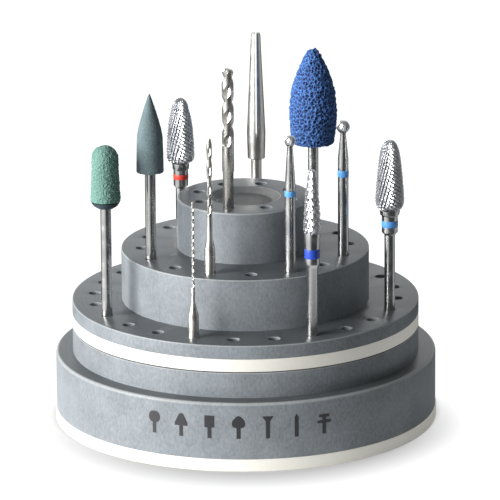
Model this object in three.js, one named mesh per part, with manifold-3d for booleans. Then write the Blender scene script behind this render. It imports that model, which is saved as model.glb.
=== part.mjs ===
// A round three-tier stand for rotary dental instruments.
// The carousel turns on its base, and each instrument lifts out of its socket.
// Millimetres, +Z up. The origin is the centre of the underside of the foot plate.

import * as THREE from 'three';
import { mergeVertices } from 'three/addons/utils/BufferGeometryUtils.js';
import Module from 'manifold-3d';

const wasm = await Module();
wasm.setup();

// ---- Driving dimensions: the stand ----

const CAROUSEL_RADIUS = 38.25;
const BASE_LEDGE = 3.75;
const FOOT_LIP = 0.2;
const LOWER_LEDGE = 10.95;
const MIDDLE_LEDGE = 12.4;
const FOOT_HEIGHT = 2.75;
const BASE_HEIGHT = 12.65;
const BASE_EDGE_ROUND = 0.8;
const DRUM_HEIGHT = 5.6;
const TURN_GAP = 0.25;
const SLIDE_RING_HEIGHT = 2.8;
const TIER_HEIGHTS = { lower: 3.05, middle: 11.45, upper: 11.45 };
const TIER_EDGE_CHAMFER = 0.3;
const DISH_LAND = 1.4;
const DISH_SLOPE_WIDTH = 1.4;
const DISH_DEPTH = 1.2;

// ---- Driving dimensions: the sockets ----

const SHANK_RADIUS = 1.175;
const SOCKET_CLEARANCE = 0.125;
const SEAT_GAP = 0.05;
const SOCKET_EDGES = { lower: 4.75, middle: 4.5, upper: 4.2 };
const RING_COUNTS = { lower: 24, middle: 16, upper: 8 };
const RING_START_DEG = 205.5;
const SLIDE_RING_WALL = 0.5;
const LOWER_TIER_WALL = 0.65;
const UPPER_POCKET_DEPTH = 1.45;

// ---- Driving dimensions: the pivot, screws and dowels ----

const PIVOT_RADIUS = 4;
const RUNNING_CLEARANCE = 0.08;
const FIT_GAP = 0.05;
const THREAD_RADIUS = 3;
const THREAD_CLEARANCE = 0.2;
const THREAD_ENGAGEMENT = 6.5;
const BOLT_HEAD_RADIUS = 8;
const BOLT_HEAD_HEIGHT = 4;
const BOLT_KEY_RADIUS = 2.9;
const BOLT_KEY_DEPTH = 2.4;
const HEAD_WASHER_RADIUS = 7.5;
const HEAD_WASHER_HEIGHT = 0.5;
const HEAD_POCKET_RADIUS = 11;
const HEAD_POCKET_HEIGHT = 6.2;
const BUSH_WALL = 2;
const BUSH_FLANGE_RADIUS = 9;
const BUSH_FLANGE_HEIGHT = 1.5;
const THRUST_WASHER_RADIUS = 8.5;
const THRUST_WASHER_HEIGHT = 1;
const SCREW_COUNT = 3;
const SCREW_CIRCLE_RADIUS = 28;
const SCREW_RADIUS = 2;
const SCREW_CLEARANCE = 0.25;
const SCREW_HEAD_RADIUS = 3.8;
const SCREW_HEAD_HEIGHT = 1.8;
const SCREW_HEAD_SINK = 0.3;
const SCREW_ENGAGEMENT = 3.6;
const SCREW_SLOT_WIDTH = 1;
const SCREW_SLOT_DEPTH = 0.9;
const BORE_END_GAP = 0.2;
const LOWER_DOWEL = { radius: 1.5, circle: 17, below: 1.8, above: 6 };
const UPPER_DOWEL = { radius: 1, circle: 6.2, below: 4, above: 4 };

// ---- Smoothness: sides of the round pieces ----

const DISC_SIDES = 56;
const FIT_SIDES = 24;
const SOCKET_SIDES = 8;
const SHANK_SIDES = 12;
const HEAD_SIDES = 16;
const EDGE_STEPS = 2;
const DOME_STEPS = 5;

// ---- Radii and heights that follow from the driving dimensions ----

const BASE_RADIUS = CAROUSEL_RADIUS + BASE_LEDGE;
const FOOT_RADIUS = BASE_RADIUS + FOOT_LIP;
const MIDDLE_RADIUS = CAROUSEL_RADIUS - LOWER_LEDGE;
const UPPER_RADIUS = MIDDLE_RADIUS - MIDDLE_LEDGE;
const TIER_RADII = { lower: CAROUSEL_RADIUS, middle: MIDDLE_RADIUS, upper: UPPER_RADIUS };
const SOCKET_RADIUS = SHANK_RADIUS + SOCKET_CLEARANCE;
const DISH_RIM_RADIUS = UPPER_RADIUS - SOCKET_EDGES.upper - SOCKET_RADIUS - DISH_LAND;
const DISH_FLOOR_RADIUS = DISH_RIM_RADIUS - DISH_SLOPE_WIDTH;
const BASE_BOTTOM = FOOT_HEIGHT;
const DRUM_BOTTOM = BASE_BOTTOM + BASE_HEIGHT;
const DRUM_TOP = DRUM_BOTTOM + DRUM_HEIGHT;
const RING_BOTTOM = DRUM_TOP + TURN_GAP;
const LOWER_BOTTOM = RING_BOTTOM + SLIDE_RING_HEIGHT;
const MIDDLE_BOTTOM = LOWER_BOTTOM + TIER_HEIGHTS.lower;
const UPPER_BOTTOM = MIDDLE_BOTTOM + TIER_HEIGHTS.middle;
const STAND_TOP = UPPER_BOTTOM + TIER_HEIGHTS.upper;
const TIER_BOTTOMS = { lower: LOWER_BOTTOM, middle: MIDDLE_BOTTOM, upper: UPPER_BOTTOM };
const TIER_TOPS = { lower: MIDDLE_BOTTOM, middle: UPPER_BOTTOM, upper: STAND_TOP };
const SOCKET_FLOORS = {
  lower: RING_BOTTOM + SLIDE_RING_WALL,
  middle: LOWER_BOTTOM + LOWER_TIER_WALL,
  upper: UPPER_BOTTOM - UPPER_POCKET_DEPTH,
};
const HEAD_POCKET_TOP = BASE_BOTTOM + HEAD_POCKET_HEIGHT;
const BOLT_HEAD_TOP = HEAD_POCKET_TOP - HEAD_WASHER_HEIGHT - 2 * FIT_GAP;
const BOLT_END = UPPER_BOTTOM + THREAD_ENGAGEMENT;
const FLANGE_TOP = RING_BOTTOM - THRUST_WASHER_HEIGHT - FIT_GAP;

// ---- Finishes ----

function finish(color, roughness, metalness) {
  return new THREE.MeshStandardMaterial({ color, roughness, metalness });
}

const FINISH = {
  greyPlastic: finish(0x8b9498, 0.5, 0),
  whitePlastic: finish(0xf1f1ec, 0.45, 0),
  brass: finish(0xb79a56, 0.35, 1),
  steel: finish(0xb8bbbd, 0.3, 1),
  cutterSteel: finish(0xc9cdd2, 0.25, 1),
  drillSteel: finish(0xa9a69d, 0.35, 1),
  greenRubber: finish(0x5fa593, 0.85, 0),
  greyRubber: finish(0x5d6c70, 0.85, 0),
  blueRubber: finish(0x2b4b9b, 0.9, 0),
  darkCap: finish(0x24303a, 0.5, 0),
  redBand: finish(0xd23a2c, 0.4, 0),
  blueBand: finish(0x4a8fd6, 0.4, 0),
  darkBlueBand: finish(0x1f3f9c, 0.4, 0),
};

// ---- Geometry helpers ----

// Joins shared corners and drops the triangles that collapse on an axis.
function welded(geometry) {
  geometry.deleteAttribute('normal');
  geometry.deleteAttribute('uv');
  const merged = mergeVertices(geometry, 1e-5);
  const corners = merged.index.array;
  const kept = [];
  for (let i = 0; i < corners.length; i += 3) {
    const [a, b, c] = corners.slice(i, i + 3);
    if (a !== b && b !== c && c !== a) kept.push(a, b, c);
  }
  merged.setIndex(kept);
  return merged;
}

// Turns an outline of [radius, height] points, listed from the bottom up the outside, about +Z.
function turned(outline, sides) {
  const points = outline.map(([radius, height]) => new THREE.Vector2(radius, height));
  return welded(new THREE.LatheGeometry(points, sides).rotateX(Math.PI / 2));
}

function rod(radius, bottom, top, sides) {
  return turned([[0, bottom], [radius, bottom], [radius, top], [0, top]], sides);
}

function tube(inner, outer, bottom, top, sides) {
  return turned([[inner, bottom], [outer, bottom], [outer, top], [inner, top], [inner, bottom]], sides);
}

function toSolid(geometry) {
  const vertProperties = new Float32Array(geometry.attributes.position.array);
  const triVerts = new Uint32Array(geometry.index.array);
  return new wasm.Manifold(new wasm.Mesh({ numProp: 3, vertProperties, triVerts }));
}

function toGeometry(solid) {
  const mesh = solid.getMesh();
  const geometry = new THREE.BufferGeometry();
  geometry.setAttribute('position', new THREE.BufferAttribute(mesh.vertProperties, 3));
  geometry.setIndex(new THREE.BufferAttribute(mesh.triVerts, 1));
  return geometry;
}

// Cuts every tool from the body.
function cut(body, tools) {
  let solid = toSolid(body);
  for (const tool of tools) solid = solid.subtract(toSolid(tool));
  return toGeometry(solid);
}

function moved(geometry, { x, y }) {
  return geometry.translate(x, y, 0);
}

function everyPlace(radius, count, startDeg) {
  return Array.from({ length: count }, (_, index) => {
    const angle = THREE.MathUtils.degToRad(startDeg + (360 * index) / count);
    return { x: radius * Math.cos(angle), y: radius * Math.sin(angle) };
  });
}

// Outline points along an arc, from one angle to another.
function arc({ centre, radius, fromDeg, toDeg, steps }) {
  return Array.from({ length: steps + 1 }, (_, step) => {
    const angle = THREE.MathUtils.degToRad(fromDeg + ((toDeg - fromDeg) * step) / steps);
    return [centre[0] + radius * Math.cos(angle), centre[1] + radius * Math.sin(angle)];
  });
}

// The rounded upper corner of a disc, from its wall to its top.
function roundedEdge(discRadius, top, round) {
  const centre = [discRadius - round, top - round];
  return arc({ centre, radius: round, fromDeg: 0, toDeg: 90, steps: EDGE_STEPS });
}

// The upper part of a ball or dome, up to its pole on the axis.
function dome(height, radius, fromDeg) {
  return arc({ centre: [0, height], radius, fromDeg, toDeg: 90, steps: DOME_STEPS });
}

function piece(name, geometry, material) {
  const mesh = new THREE.Mesh(geometry, material);
  mesh.name = name;
  return mesh;
}

// ---- Cutting tools shared by the stand's pieces ----

const CUT_PAST = 1;

function socketPlaces(tier) {
  return everyPlace(TIER_RADII[tier] - SOCKET_EDGES[tier], RING_COUNTS[tier], RING_START_DEG);
}

function socketTools(tier, bottom, top) {
  return socketPlaces(tier).map((place) => moved(rod(SOCKET_RADIUS, bottom, top, SOCKET_SIDES), place));
}

// The part of each socket that goes on into the piece below its tier.
function pocketTools(tier) {
  return socketTools(tier, SOCKET_FLOORS[tier], TIER_BOTTOMS[tier] + CUT_PAST);
}

function throughSockets(tier) {
  return socketTools(tier, TIER_BOTTOMS[tier] - CUT_PAST, TIER_TOPS[tier] + CUT_PAST);
}

function dowelPlaces(dowel) {
  return everyPlace(dowel.circle, 2, 0);
}

function dowelTools(dowel, joint) {
  const bottom = joint.bottom - dowel.below - BORE_END_GAP;
  const top = joint.top + dowel.above + BORE_END_GAP;
  const bore = dowel.radius + FIT_GAP;
  return dowelPlaces(dowel).map((place) => moved(rod(bore, bottom, top, SHANK_SIDES), place));
}

const LOWER_JOINT = { bottom: LOWER_BOTTOM, top: MIDDLE_BOTTOM };
const UPPER_JOINT = { bottom: UPPER_BOTTOM, top: UPPER_BOTTOM };

function screwPlaces() {
  return everyPlace(SCREW_CIRCLE_RADIUS, SCREW_COUNT, 90);
}

function screwBores(radius, bottom, top) {
  return screwPlaces().map((place) => moved(rod(radius, bottom, top, SHANK_SIDES), place));
}

// ---- The base ----

function footPlate() {
  const disc = rod(FOOT_RADIUS, 0, FOOT_HEIGHT, DISC_SIDES);
  const bore = SCREW_RADIUS + SCREW_CLEARANCE;
  const head = SCREW_HEAD_RADIUS + FIT_GAP;
  const headTop = SCREW_HEAD_SINK + SCREW_HEAD_HEIGHT;
  const outline = [[0, -CUT_PAST], [head, -CUT_PAST], [head, SCREW_HEAD_SINK], [bore, headTop]];
  outline.push([bore, FOOT_HEIGHT + CUT_PAST], [0, FOOT_HEIGHT + CUT_PAST]);
  const tools = screwPlaces().map((place) => moved(turned(outline, SHANK_SIDES), place));
  return cut(disc, tools);
}

function baseRing() {
  const disc = turned([
    [0, BASE_BOTTOM],
    [BASE_RADIUS, BASE_BOTTOM],
    ...roundedEdge(BASE_RADIUS, DRUM_BOTTOM, BASE_EDGE_ROUND),
    [0, DRUM_BOTTOM],
  ], DISC_SIDES);
  const bushBore = PIVOT_RADIUS + BUSH_WALL + FIT_GAP;
  return cut(disc, [
    rod(bushBore, BASE_BOTTOM - CUT_PAST, DRUM_BOTTOM + CUT_PAST, FIT_SIDES),
    rod(HEAD_POCKET_RADIUS, BASE_BOTTOM - CUT_PAST, HEAD_POCKET_TOP, FIT_SIDES),
    ...screwBores(SCREW_RADIUS + SCREW_CLEARANCE, BASE_BOTTOM - CUT_PAST, DRUM_BOTTOM + CUT_PAST),
  ]);
}

function drum() {
  const disc = turned([
    [0, DRUM_BOTTOM],
    [CAROUSEL_RADIUS, DRUM_BOTTOM],
    [CAROUSEL_RADIUS, DRUM_TOP - TIER_EDGE_CHAMFER],
    [CAROUSEL_RADIUS - TIER_EDGE_CHAMFER, DRUM_TOP],
    [0, DRUM_TOP],
  ], DISC_SIDES);
  const bushBore = PIVOT_RADIUS + BUSH_WALL + FIT_GAP;
  const flangeFloor = FLANGE_TOP - BUSH_FLANGE_HEIGHT;
  const screwBoreTop = DRUM_BOTTOM + SCREW_ENGAGEMENT + BORE_END_GAP;
  return cut(disc, [
    rod(bushBore, DRUM_BOTTOM - CUT_PAST, DRUM_TOP + CUT_PAST, FIT_SIDES),
    rod(BUSH_FLANGE_RADIUS + FIT_GAP, flangeFloor, DRUM_TOP + CUT_PAST, FIT_SIDES),
    ...screwBores(SCREW_RADIUS + FIT_GAP, DRUM_BOTTOM - CUT_PAST, screwBoreTop),
  ]);
}

function bearingBush() {
  const inner = PIVOT_RADIUS + RUNNING_CLEARANCE;
  const outer = PIVOT_RADIUS + BUSH_WALL;
  const flangeFloor = FLANGE_TOP - BUSH_FLANGE_HEIGHT;
  return turned([
    [inner, HEAD_POCKET_TOP],
    [outer, HEAD_POCKET_TOP],
    [outer, flangeFloor],
    [BUSH_FLANGE_RADIUS, flangeFloor],
    [BUSH_FLANGE_RADIUS, FLANGE_TOP],
    [inner, FLANGE_TOP],
    [inner, HEAD_POCKET_TOP],
  ], FIT_SIDES);
}

function thrustWasher() {
  const inner = PIVOT_RADIUS + RUNNING_CLEARANCE;
  return tube(inner, THRUST_WASHER_RADIUS, FLANGE_TOP, RING_BOTTOM - FIT_GAP, FIT_SIDES);
}

// A countersunk screw from below, with a straight slot in its head.
function footScrew() {
  const top = DRUM_BOTTOM + SCREW_ENGAGEMENT;
  const headTop = SCREW_HEAD_SINK + SCREW_HEAD_HEIGHT;
  const body = turned([
    [0, SCREW_HEAD_SINK],
    [SCREW_HEAD_RADIUS, SCREW_HEAD_SINK],
    [SCREW_RADIUS, headTop],
    [SCREW_RADIUS, top],
    [0, top],
  ], SHANK_SIDES);
  const slot = new THREE.BoxGeometry(3 * SCREW_HEAD_RADIUS, SCREW_SLOT_WIDTH, 2 * SCREW_SLOT_DEPTH);
  slot.translate(0, 0, SCREW_HEAD_SINK);
  return cut(body, [welded(slot)]);
}

function basePieces() {
  const pieces = [
    piece('foot_plate', footPlate(), FINISH.whitePlastic),
    piece('base_ring', baseRing(), FINISH.greyPlastic),
    piece('drum', drum(), FINISH.greyPlastic),
    piece('bearing_bush', bearingBush(), FINISH.brass),
    piece('thrust_washer', thrustWasher(), FINISH.whitePlastic),
  ];
  screwPlaces().forEach(({ x, y }, index) => {
    const screw = piece(`foot_screw_${index + 1}`, footScrew(), FINISH.steel);
    screw.position.set(x, y, 0);
    pieces.push(screw);
  });
  return pieces;
}

// ---- The carousel ----

function slideRing() {
  const disc = rod(TIER_RADII.lower, RING_BOTTOM, LOWER_BOTTOM, DISC_SIDES);
  return cut(disc, [
    rod(THREAD_RADIUS + THREAD_CLEARANCE, RING_BOTTOM - CUT_PAST, LOWER_BOTTOM + CUT_PAST, FIT_SIDES),
    ...pocketTools('lower'),
    ...dowelTools(LOWER_DOWEL, LOWER_JOINT),
  ]);
}

function tierDisc(tier, topOutline) {
  const radius = TIER_RADII[tier];
  const bottom = TIER_BOTTOMS[tier];
  const top = TIER_TOPS[tier];
  return turned([
    [0, bottom],
    [radius, bottom],
    [radius, top - TIER_EDGE_CHAMFER],
    [radius - TIER_EDGE_CHAMFER, top],
    ...topOutline,
  ], DISC_SIDES);
}

function boltClearance(tier) {
  const radius = THREAD_RADIUS + THREAD_CLEARANCE;
  return rod(radius, TIER_BOTTOMS[tier] - CUT_PAST, TIER_TOPS[tier] + CUT_PAST, FIT_SIDES);
}

function tierLower() {
  return cut(tierDisc('lower', [[0, TIER_TOPS.lower]]), [
    boltClearance('lower'),
    ...throughSockets('lower'),
    ...pocketTools('middle'),
    ...dowelTools(LOWER_DOWEL, LOWER_JOINT),
  ]);
}

function tierMiddle() {
  return cut(tierDisc('middle', [[0, TIER_TOPS.middle]]), [
    boltClearance('middle'),
    ...throughSockets('middle'),
    ...pocketTools('upper'),
    ...dowelTools(LOWER_DOWEL, LOWER_JOINT),
    ...dowelTools(UPPER_DOWEL, UPPER_JOINT),
  ]);
}

function tierUpper() {
  const dish = [
    [DISH_RIM_RADIUS, STAND_TOP],
    [DISH_FLOOR_RADIUS, STAND_TOP - DISH_DEPTH],
    [0, STAND_TOP - DISH_DEPTH],
  ];
  const threadTop = BOLT_END + BORE_END_GAP;
  const threadBore = rod(THREAD_RADIUS + FIT_GAP, UPPER_BOTTOM - CUT_PAST, threadTop, FIT_SIDES);
  return cut(tierDisc('upper', dish), [
    threadBore,
    ...throughSockets('upper'),
    ...dowelTools(UPPER_DOWEL, UPPER_JOINT),
  ]);
}

// A shoulder bolt: the head stays below the bush, and the shoulder stops under the slide ring.
function pivotBolt() {
  const headBottom = BOLT_HEAD_TOP - BOLT_HEAD_HEIGHT;
  const body = turned([
    [0, headBottom],
    [BOLT_HEAD_RADIUS, headBottom],
    [BOLT_HEAD_RADIUS, BOLT_HEAD_TOP],
    [PIVOT_RADIUS, BOLT_HEAD_TOP],
    [PIVOT_RADIUS, RING_BOTTOM],
    [THREAD_RADIUS, RING_BOTTOM],
    [THREAD_RADIUS, BOLT_END],
    [0, BOLT_END],
  ], FIT_SIDES);
  return cut(body, [rod(BOLT_KEY_RADIUS, headBottom - CUT_PAST, headBottom + BOLT_KEY_DEPTH, 6)]);
}

function headWasher() {
  const inner = PIVOT_RADIUS + FIT_GAP;
  const bottom = BOLT_HEAD_TOP;
  return tube(inner, HEAD_WASHER_RADIUS, bottom, bottom + HEAD_WASHER_HEIGHT, FIT_SIDES);
}

function dowelPin(dowel, joint) {
  return rod(dowel.radius, joint.bottom - dowel.below, joint.top + dowel.above, SHANK_SIDES);
}

function dowelPieces(name, dowel, joint) {
  return dowelPlaces(dowel).map(({ x, y }, index) => {
    const pin = piece(`${name}_${index + 1}`, dowelPin(dowel, joint), FINISH.steel);
    pin.position.set(x, y, 0);
    return pin;
  });
}

function carouselPieces() {
  return [
    piece('slide_ring', slideRing(), FINISH.whitePlastic),
    piece('tier_lower', tierLower(), FINISH.greyPlastic),
    piece('tier_middle', tierMiddle(), FINISH.greyPlastic),
    piece('tier_upper', tierUpper(), FINISH.greyPlastic),
    piece('pivot_bolt', pivotBolt(), FINISH.steel),
    piece('head_washer', headWasher(), FINISH.whitePlastic),
    ...dowelPieces('lower_dowel', LOWER_DOWEL, LOWER_JOINT),
    ...dowelPieces('upper_dowel', UPPER_DOWEL, UPPER_JOINT),
  ];
}

// ---- Instruments: shapes. Heights are measured up from the end of the shank ----

const UP = new THREE.Vector3(0, 0, 1);
const BORE_GAP = 0.05;
const SHANK_END_CHAMFER = 0.15;
const BAND_GROOVE = 0.12;
const BAND_GAP = 0.03;
const BAND_PROUD = 0.06;
const DRILL_WEB = 0.34;
const DRILL_LAND_DEG = 45;
const CUTTER_FLUTES = 8;
const CUTTER_FLUTE_DEPTH = 0.08;
const BALL_FLUTE_DEPTH = 0.06;
const MANDREL_SLOT = 0.3;
const MANDREL_HOLE_RADIUS = 0.3;

function shankFoot() {
  return [[0, 0], [SHANK_RADIUS - SHANK_END_CHAMFER, 0], [SHANK_RADIUS, SHANK_END_CHAMFER]];
}

function plainShank(length) {
  return turned([...shankFoot(), [SHANK_RADIUS, length], [0, length]], SHANK_SIDES);
}

// A head with a blind bore in its underside that takes the end of a plain shank.
function boredHead(shankLength, outline) {
  const bore = SHANK_RADIUS + BORE_GAP;
  const boreTop = shankLength + BORE_GAP;
  return turned([[0, boreTop], [bore, boreTop], [bore, outline[0][1]], ...outline], HEAD_SIDES);
}

// The groove that a colour band fills, as points of a shank's outline.
function bandGroove({ radius, bottom, top }) {
  const floor = radius - BAND_GROOVE;
  return [[radius, bottom], [floor, bottom], [floor, top], [radius, top]];
}

function colourBand({ radius, bottom, top }) {
  const inner = radius - BAND_GROOVE + BAND_GAP;
  return tube(inner, radius + BAND_PROUD, bottom + BAND_GAP, top - BAND_GAP, HEAD_SIDES);
}

// Turns each layer of a solid by an angle that grows with its height.
function twisted(geometry, pitch) {
  const position = geometry.attributes.position;
  const point = new THREE.Vector3();
  for (let i = 0; i < position.count; i += 1) {
    point.fromBufferAttribute(position, i);
    point.applyAxisAngle(UP, (2 * Math.PI * point.z) / pitch);
    position.setXYZ(i, point.x, point.y, point.z);
  }
  return geometry;
}

// Presses flutes into the outside of a turned head.
function fluted(geometry, count, depth) {
  const position = geometry.attributes.position;
  for (let i = 0; i < position.count; i += 1) {
    const x = position.getX(i);
    const y = position.getY(i);
    const inFlute = 0.5 - 0.5 * Math.cos(count * Math.atan2(y, x));
    const scale = 1 - depth * inFlute;
    position.setXY(i, x * scale, y * scale);
  }
  return geometry;
}

// A two-fluted section: two lands at the full radius, and a thin web between the flutes.
function drillSection(radius) {
  const half = [[-DRILL_LAND_DEG, 1], [0, 1], [DRILL_LAND_DEG, 1], [90, DRILL_WEB]];
  const corners = [0, 180].flatMap((turn) => half.map(([deg, share]) => {
    const angle = THREE.MathUtils.degToRad(deg + turn);
    return new THREE.Vector2(radius * share * Math.cos(angle), radius * share * Math.sin(angle));
  }));
  return new THREE.Shape(corners);
}

// Twisted flutes that end in a cone, on a turned neck and shank.
function twistDrill({ radius, length, fluteBottom, pitch, steps, pointHeight, shankOutline }) {
  const blankBottom = fluteBottom - radius;
  const depth = length - blankBottom;
  const blank = new THREE.ExtrudeGeometry(drillSection(radius), { depth, steps, bevelEnabled: false });
  const flutes = twisted(welded(blank.translate(0, 0, blankBottom)), pitch);
  const around = 2 * radius;
  const coneBottom = length - 2 * pointHeight;
  const cone = [[0, blankBottom], [around, blankBottom], [around, coneBottom], [0, length]];
  const shank = [...shankFoot(), ...shankOutline, [radius, fluteBottom], [0, fluteBottom]];
  const pointed = toSolid(flutes).intersect(toSolid(turned(cone, HEAD_SIDES)));
  return toGeometry(pointed.add(toSolid(turned(shank, SHANK_SIDES))));
}

// ---- Instruments: one function each, giving the pieces around the instrument's own axis ----

function bulletPolisher() {
  const shankLength = 38;
  const headBottom = 31.1;
  const domeCentre = 40.7;
  const head = [[3.3, headBottom], [3.45, headBottom + 0.6], ...dome(domeCentre, 3.1, 0)];
  const capInner = SHANK_RADIUS + BORE_GAP;
  const capTop = headBottom - BORE_GAP;
  const cap = [
    [capInner, 29.6], [1.7, 29.6], [2.5, 30.1], [3, 30.7], [3.1, capTop],
    [capInner, capTop], [capInner, 29.6],
  ];
  return [
    piece('bullet_polisher_shank', plainShank(shankLength), FINISH.steel),
    piece('bullet_polisher_head', boredHead(shankLength, head), FINISH.greenRubber),
    piece('bullet_polisher_cap', turned(cap, HEAD_SIDES), FINISH.darkCap),
  ];
}

function pointedPolisher() {
  const shankLength = 40;
  const head = [
    [2.95, 33.6], [3.05, 34], [2.9, 40.9], [2.6, 43],
    [2.1, 45], [1.5, 47.1], [0.9, 49], [0.35, 50.6], [0, 51.3],
  ];
  return [
    piece('pointed_polisher_shank', plainShank(shankLength), FINISH.steel),
    piece('pointed_polisher_head', boredHead(shankLength, head), FINISH.greyRubber),
  ];
}

function torpedoPolisher() {
  const shankLength = 43;
  const head = [
    [4.7, 32.5], [4.9, 33.1], [5.3, 36], [5.5, 39.2], [5.35, 42.5], [4.8, 45.8],
    [3.6, 49.3], [2.4, 52], [1.5, 53.7], [0.8, 54.3], [0, 54.45],
  ];
  return [
    piece('torpedo_polisher_shank', plainShank(shankLength), FINISH.steel),
    piece('torpedo_polisher_head', boredHead(shankLength, head), FINISH.blueRubber),
  ];
}

// A brazed cutter: a shank with a band and a collar, and a toothed head that stands on the collar.
function cutter({ name, belowBand, band, collar, headBottom, headOutline, bandFinish }) {
  const collarRadius = collar[collar.length - 1][0];
  const seat = [[collarRadius, headBottom], [0, headBottom]];
  const shank = [...shankFoot(), ...belowBand, ...bandGroove(band), ...collar, ...seat];
  const head = turned([[0, headBottom], [collarRadius, headBottom], ...headOutline], 2 * CUTTER_FLUTES);
  return [
    piece(`${name}_shank`, turned(shank, HEAD_SIDES), FINISH.steel),
    piece(`${name}_head`, fluted(head, CUTTER_FLUTES, CUTTER_FLUTE_DEPTH), FINISH.cutterSteel),
    piece(`${name}_band`, colourBand(band), bandFinish),
  ];
}

function taperedCutter() {
  return cutter({
    name: 'tapered_cutter',
    belowBand: [[SHANK_RADIUS, 21.8], [1.65, 22.45]],
    band: { radius: 1.65, bottom: 23.9, top: 25.1 },
    collar: [[1.65, 26], [1.85, 26.3], [1.9, 27.3]],
    headBottom: 27.6,
    headOutline: [
      [2.9, 28.2], [3.2, 29.7], [2.8, 36.2], [2.15, 39.6],
      [1.65, 41.4], [1.1, 42.2], [0.5, 42.6], [0, 42.75],
    ],
    bandFinish: FINISH.redBand,
  });
}

function slenderCutter() {
  return cutter({
    name: 'slender_cutter',
    belowBand: [[SHANK_RADIUS, 20.4], [1.5, 21.05], [1.6, 21.4]],
    band: { radius: 1.6, bottom: 22.6, top: 24.7 },
    collar: [[1.6, 25.3], [1.75, 27.6]],
    headBottom: 28.2,
    headOutline: [[2, 28.9], [1.75, 33.3], [1.4, 37.6], [0.9, 41.5], [0.5, 42.1], [0, 42.3]],
    bandFinish: FINISH.darkBlueBand,
  });
}

function eggCutter() {
  return cutter({
    name: 'egg_cutter',
    belowBand: [[SHANK_RADIUS, 22.3], [1.75, 22.9]],
    band: { radius: 1.75, bottom: 24.1, top: 25.6 },
    collar: [[1.75, 26.6], [2.1, 26.9], [2.2, 27.6]],
    headBottom: 27.9,
    headOutline: [
      [2.9, 28.6], [3.2, 29.7], [3.15, 31.7], [3, 33.7], [2.6, 37.9],
      [2.2, 40.7], [1.6, 42.5], [0.9, 43.4], [0, 43.7],
    ],
    bandFinish: FINISH.blueBand,
  });
}

// A round bur: a shank with a band and a slim neck, and a ball head at the neck's end.
function roundBur({ name, ballRadius, ballCentre, neckRadius, neckBottom, coneBottom, band }) {
  const seatDeg = -THREE.MathUtils.radToDeg(Math.acos(neckRadius / ballRadius));
  const seat = ballCentre + ballRadius * Math.sin(THREE.MathUtils.degToRad(seatDeg));
  const shank = [
    ...shankFoot(),
    ...bandGroove(band),
    [SHANK_RADIUS, coneBottom],
    [neckRadius, neckBottom],
    [neckRadius, seat],
    [0, seat],
  ];
  const head = turned([[0, seat], ...dome(ballCentre, ballRadius, seatDeg)], HEAD_SIDES);
  return [
    piece(`${name}_shank`, turned(shank, SHANK_SIDES), FINISH.steel),
    piece(`${name}_head`, fluted(head, HEAD_SIDES / 2, BALL_FLUTE_DEPTH), FINISH.cutterSteel),
    piece(`${name}_band`, colourBand(band), FINISH.blueBand),
  ];
}

function smallRoundBur() {
  return roundBur({
    name: 'small_round_bur',
    ballRadius: 1.25,
    ballCentre: 43.05,
    neckRadius: 0.65,
    neckBottom: 41.3,
    coneBottom: 32.8,
    band: { radius: SHANK_RADIUS, bottom: 30.7, top: 32.05 },
  });
}

function largeRoundBur() {
  return roundBur({
    name: 'large_round_bur',
    ballRadius: 1.48,
    ballCentre: 42.75,
    neckRadius: 0.66,
    neckBottom: 40.7,
    coneBottom: 35.5,
    band: { radius: SHANK_RADIUS, bottom: 31.5, top: 33.05 },
  });
}

function fineDrill() {
  const geometry = twistDrill({
    radius: 0.32,
    length: 35.5,
    fluteBottom: 16.5,
    pitch: 3.4,
    steps: 48,
    pointHeight: 0.3,
    shankOutline: [[SHANK_RADIUS, 10.3], [0.4, 13.3], [0.4, 16.2]],
  });
  return [piece('fine_drill', geometry, FINISH.drillSteel)];
}

function mediumDrill() {
  const geometry = twistDrill({
    radius: 0.6,
    length: 44,
    fluteBottom: 26.85,
    pitch: 8.6,
    steps: 18,
    pointHeight: 0.4,
    shankOutline: [[SHANK_RADIUS, 19.55], [0.6, 21.85]],
  });
  return [piece('medium_drill', geometry, FINISH.drillSteel)];
}

function largeDrill() {
  const geometry = twistDrill({
    radius: 1.3,
    length: 44.3,
    fluteBottom: 27,
    pitch: 11,
    steps: 16,
    pointHeight: 0.9,
    shankOutline: [[SHANK_RADIUS, 21], [1.3, 21.2]],
  });
  return [piece('large_drill', geometry, FINISH.drillSteel)];
}

// Two tapered prongs with a slot between them, which ends in a cross hole.
function slottedMandrel() {
  const length = 56.9;
  const shoulder = 33.7;
  const holeHeight = 33.3;
  const body = turned([
    ...shankFoot(),
    [SHANK_RADIUS, 27.5],
    [1.95, 27.9],
    [2.05, 31.5],
    [2.1, shoulder],
    [1.05, length - 0.2],
    [0.85, length],
    [0, length],
  ], HEAD_SIDES);
  const slot = new THREE.BoxGeometry(MANDREL_SLOT, 10, length).translate(0, 0, holeHeight + length / 2);
  const hole = new THREE.CylinderGeometry(MANDREL_HOLE_RADIUS, MANDREL_HOLE_RADIUS, 10, SHANK_SIDES);
  hole.translate(0, 0, holeHeight);
  return [piece('slotted_mandrel', cut(body, [welded(slot), welded(hole)]), FINISH.steel)];
}

// ---- The instruments in their sockets: tier, number of the socket in its ring, and pieces ----

const INSTRUMENTS = [
  { tier: 'lower', socket: 0, make: bulletPolisher },
  { tier: 'lower', socket: 3, make: fineDrill },
  { tier: 'lower', socket: 6, make: slenderCutter },
  { tier: 'lower', socket: 9, make: eggCutter },
  { tier: 'lower', socket: 16, make: slottedMandrel },
  { tier: 'lower', socket: 18, make: taperedCutter },
  { tier: 'middle', socket: 0, make: pointedPolisher },
  { tier: 'middle', socket: 2, make: mediumDrill },
  { tier: 'middle', socket: 4, make: smallRoundBur },
  { tier: 'middle', socket: 6, make: largeRoundBur },
  { tier: 'middle', socket: 9, make: torpedoPolisher },
  { tier: 'upper', socket: 1, make: largeDrill },
];

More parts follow.
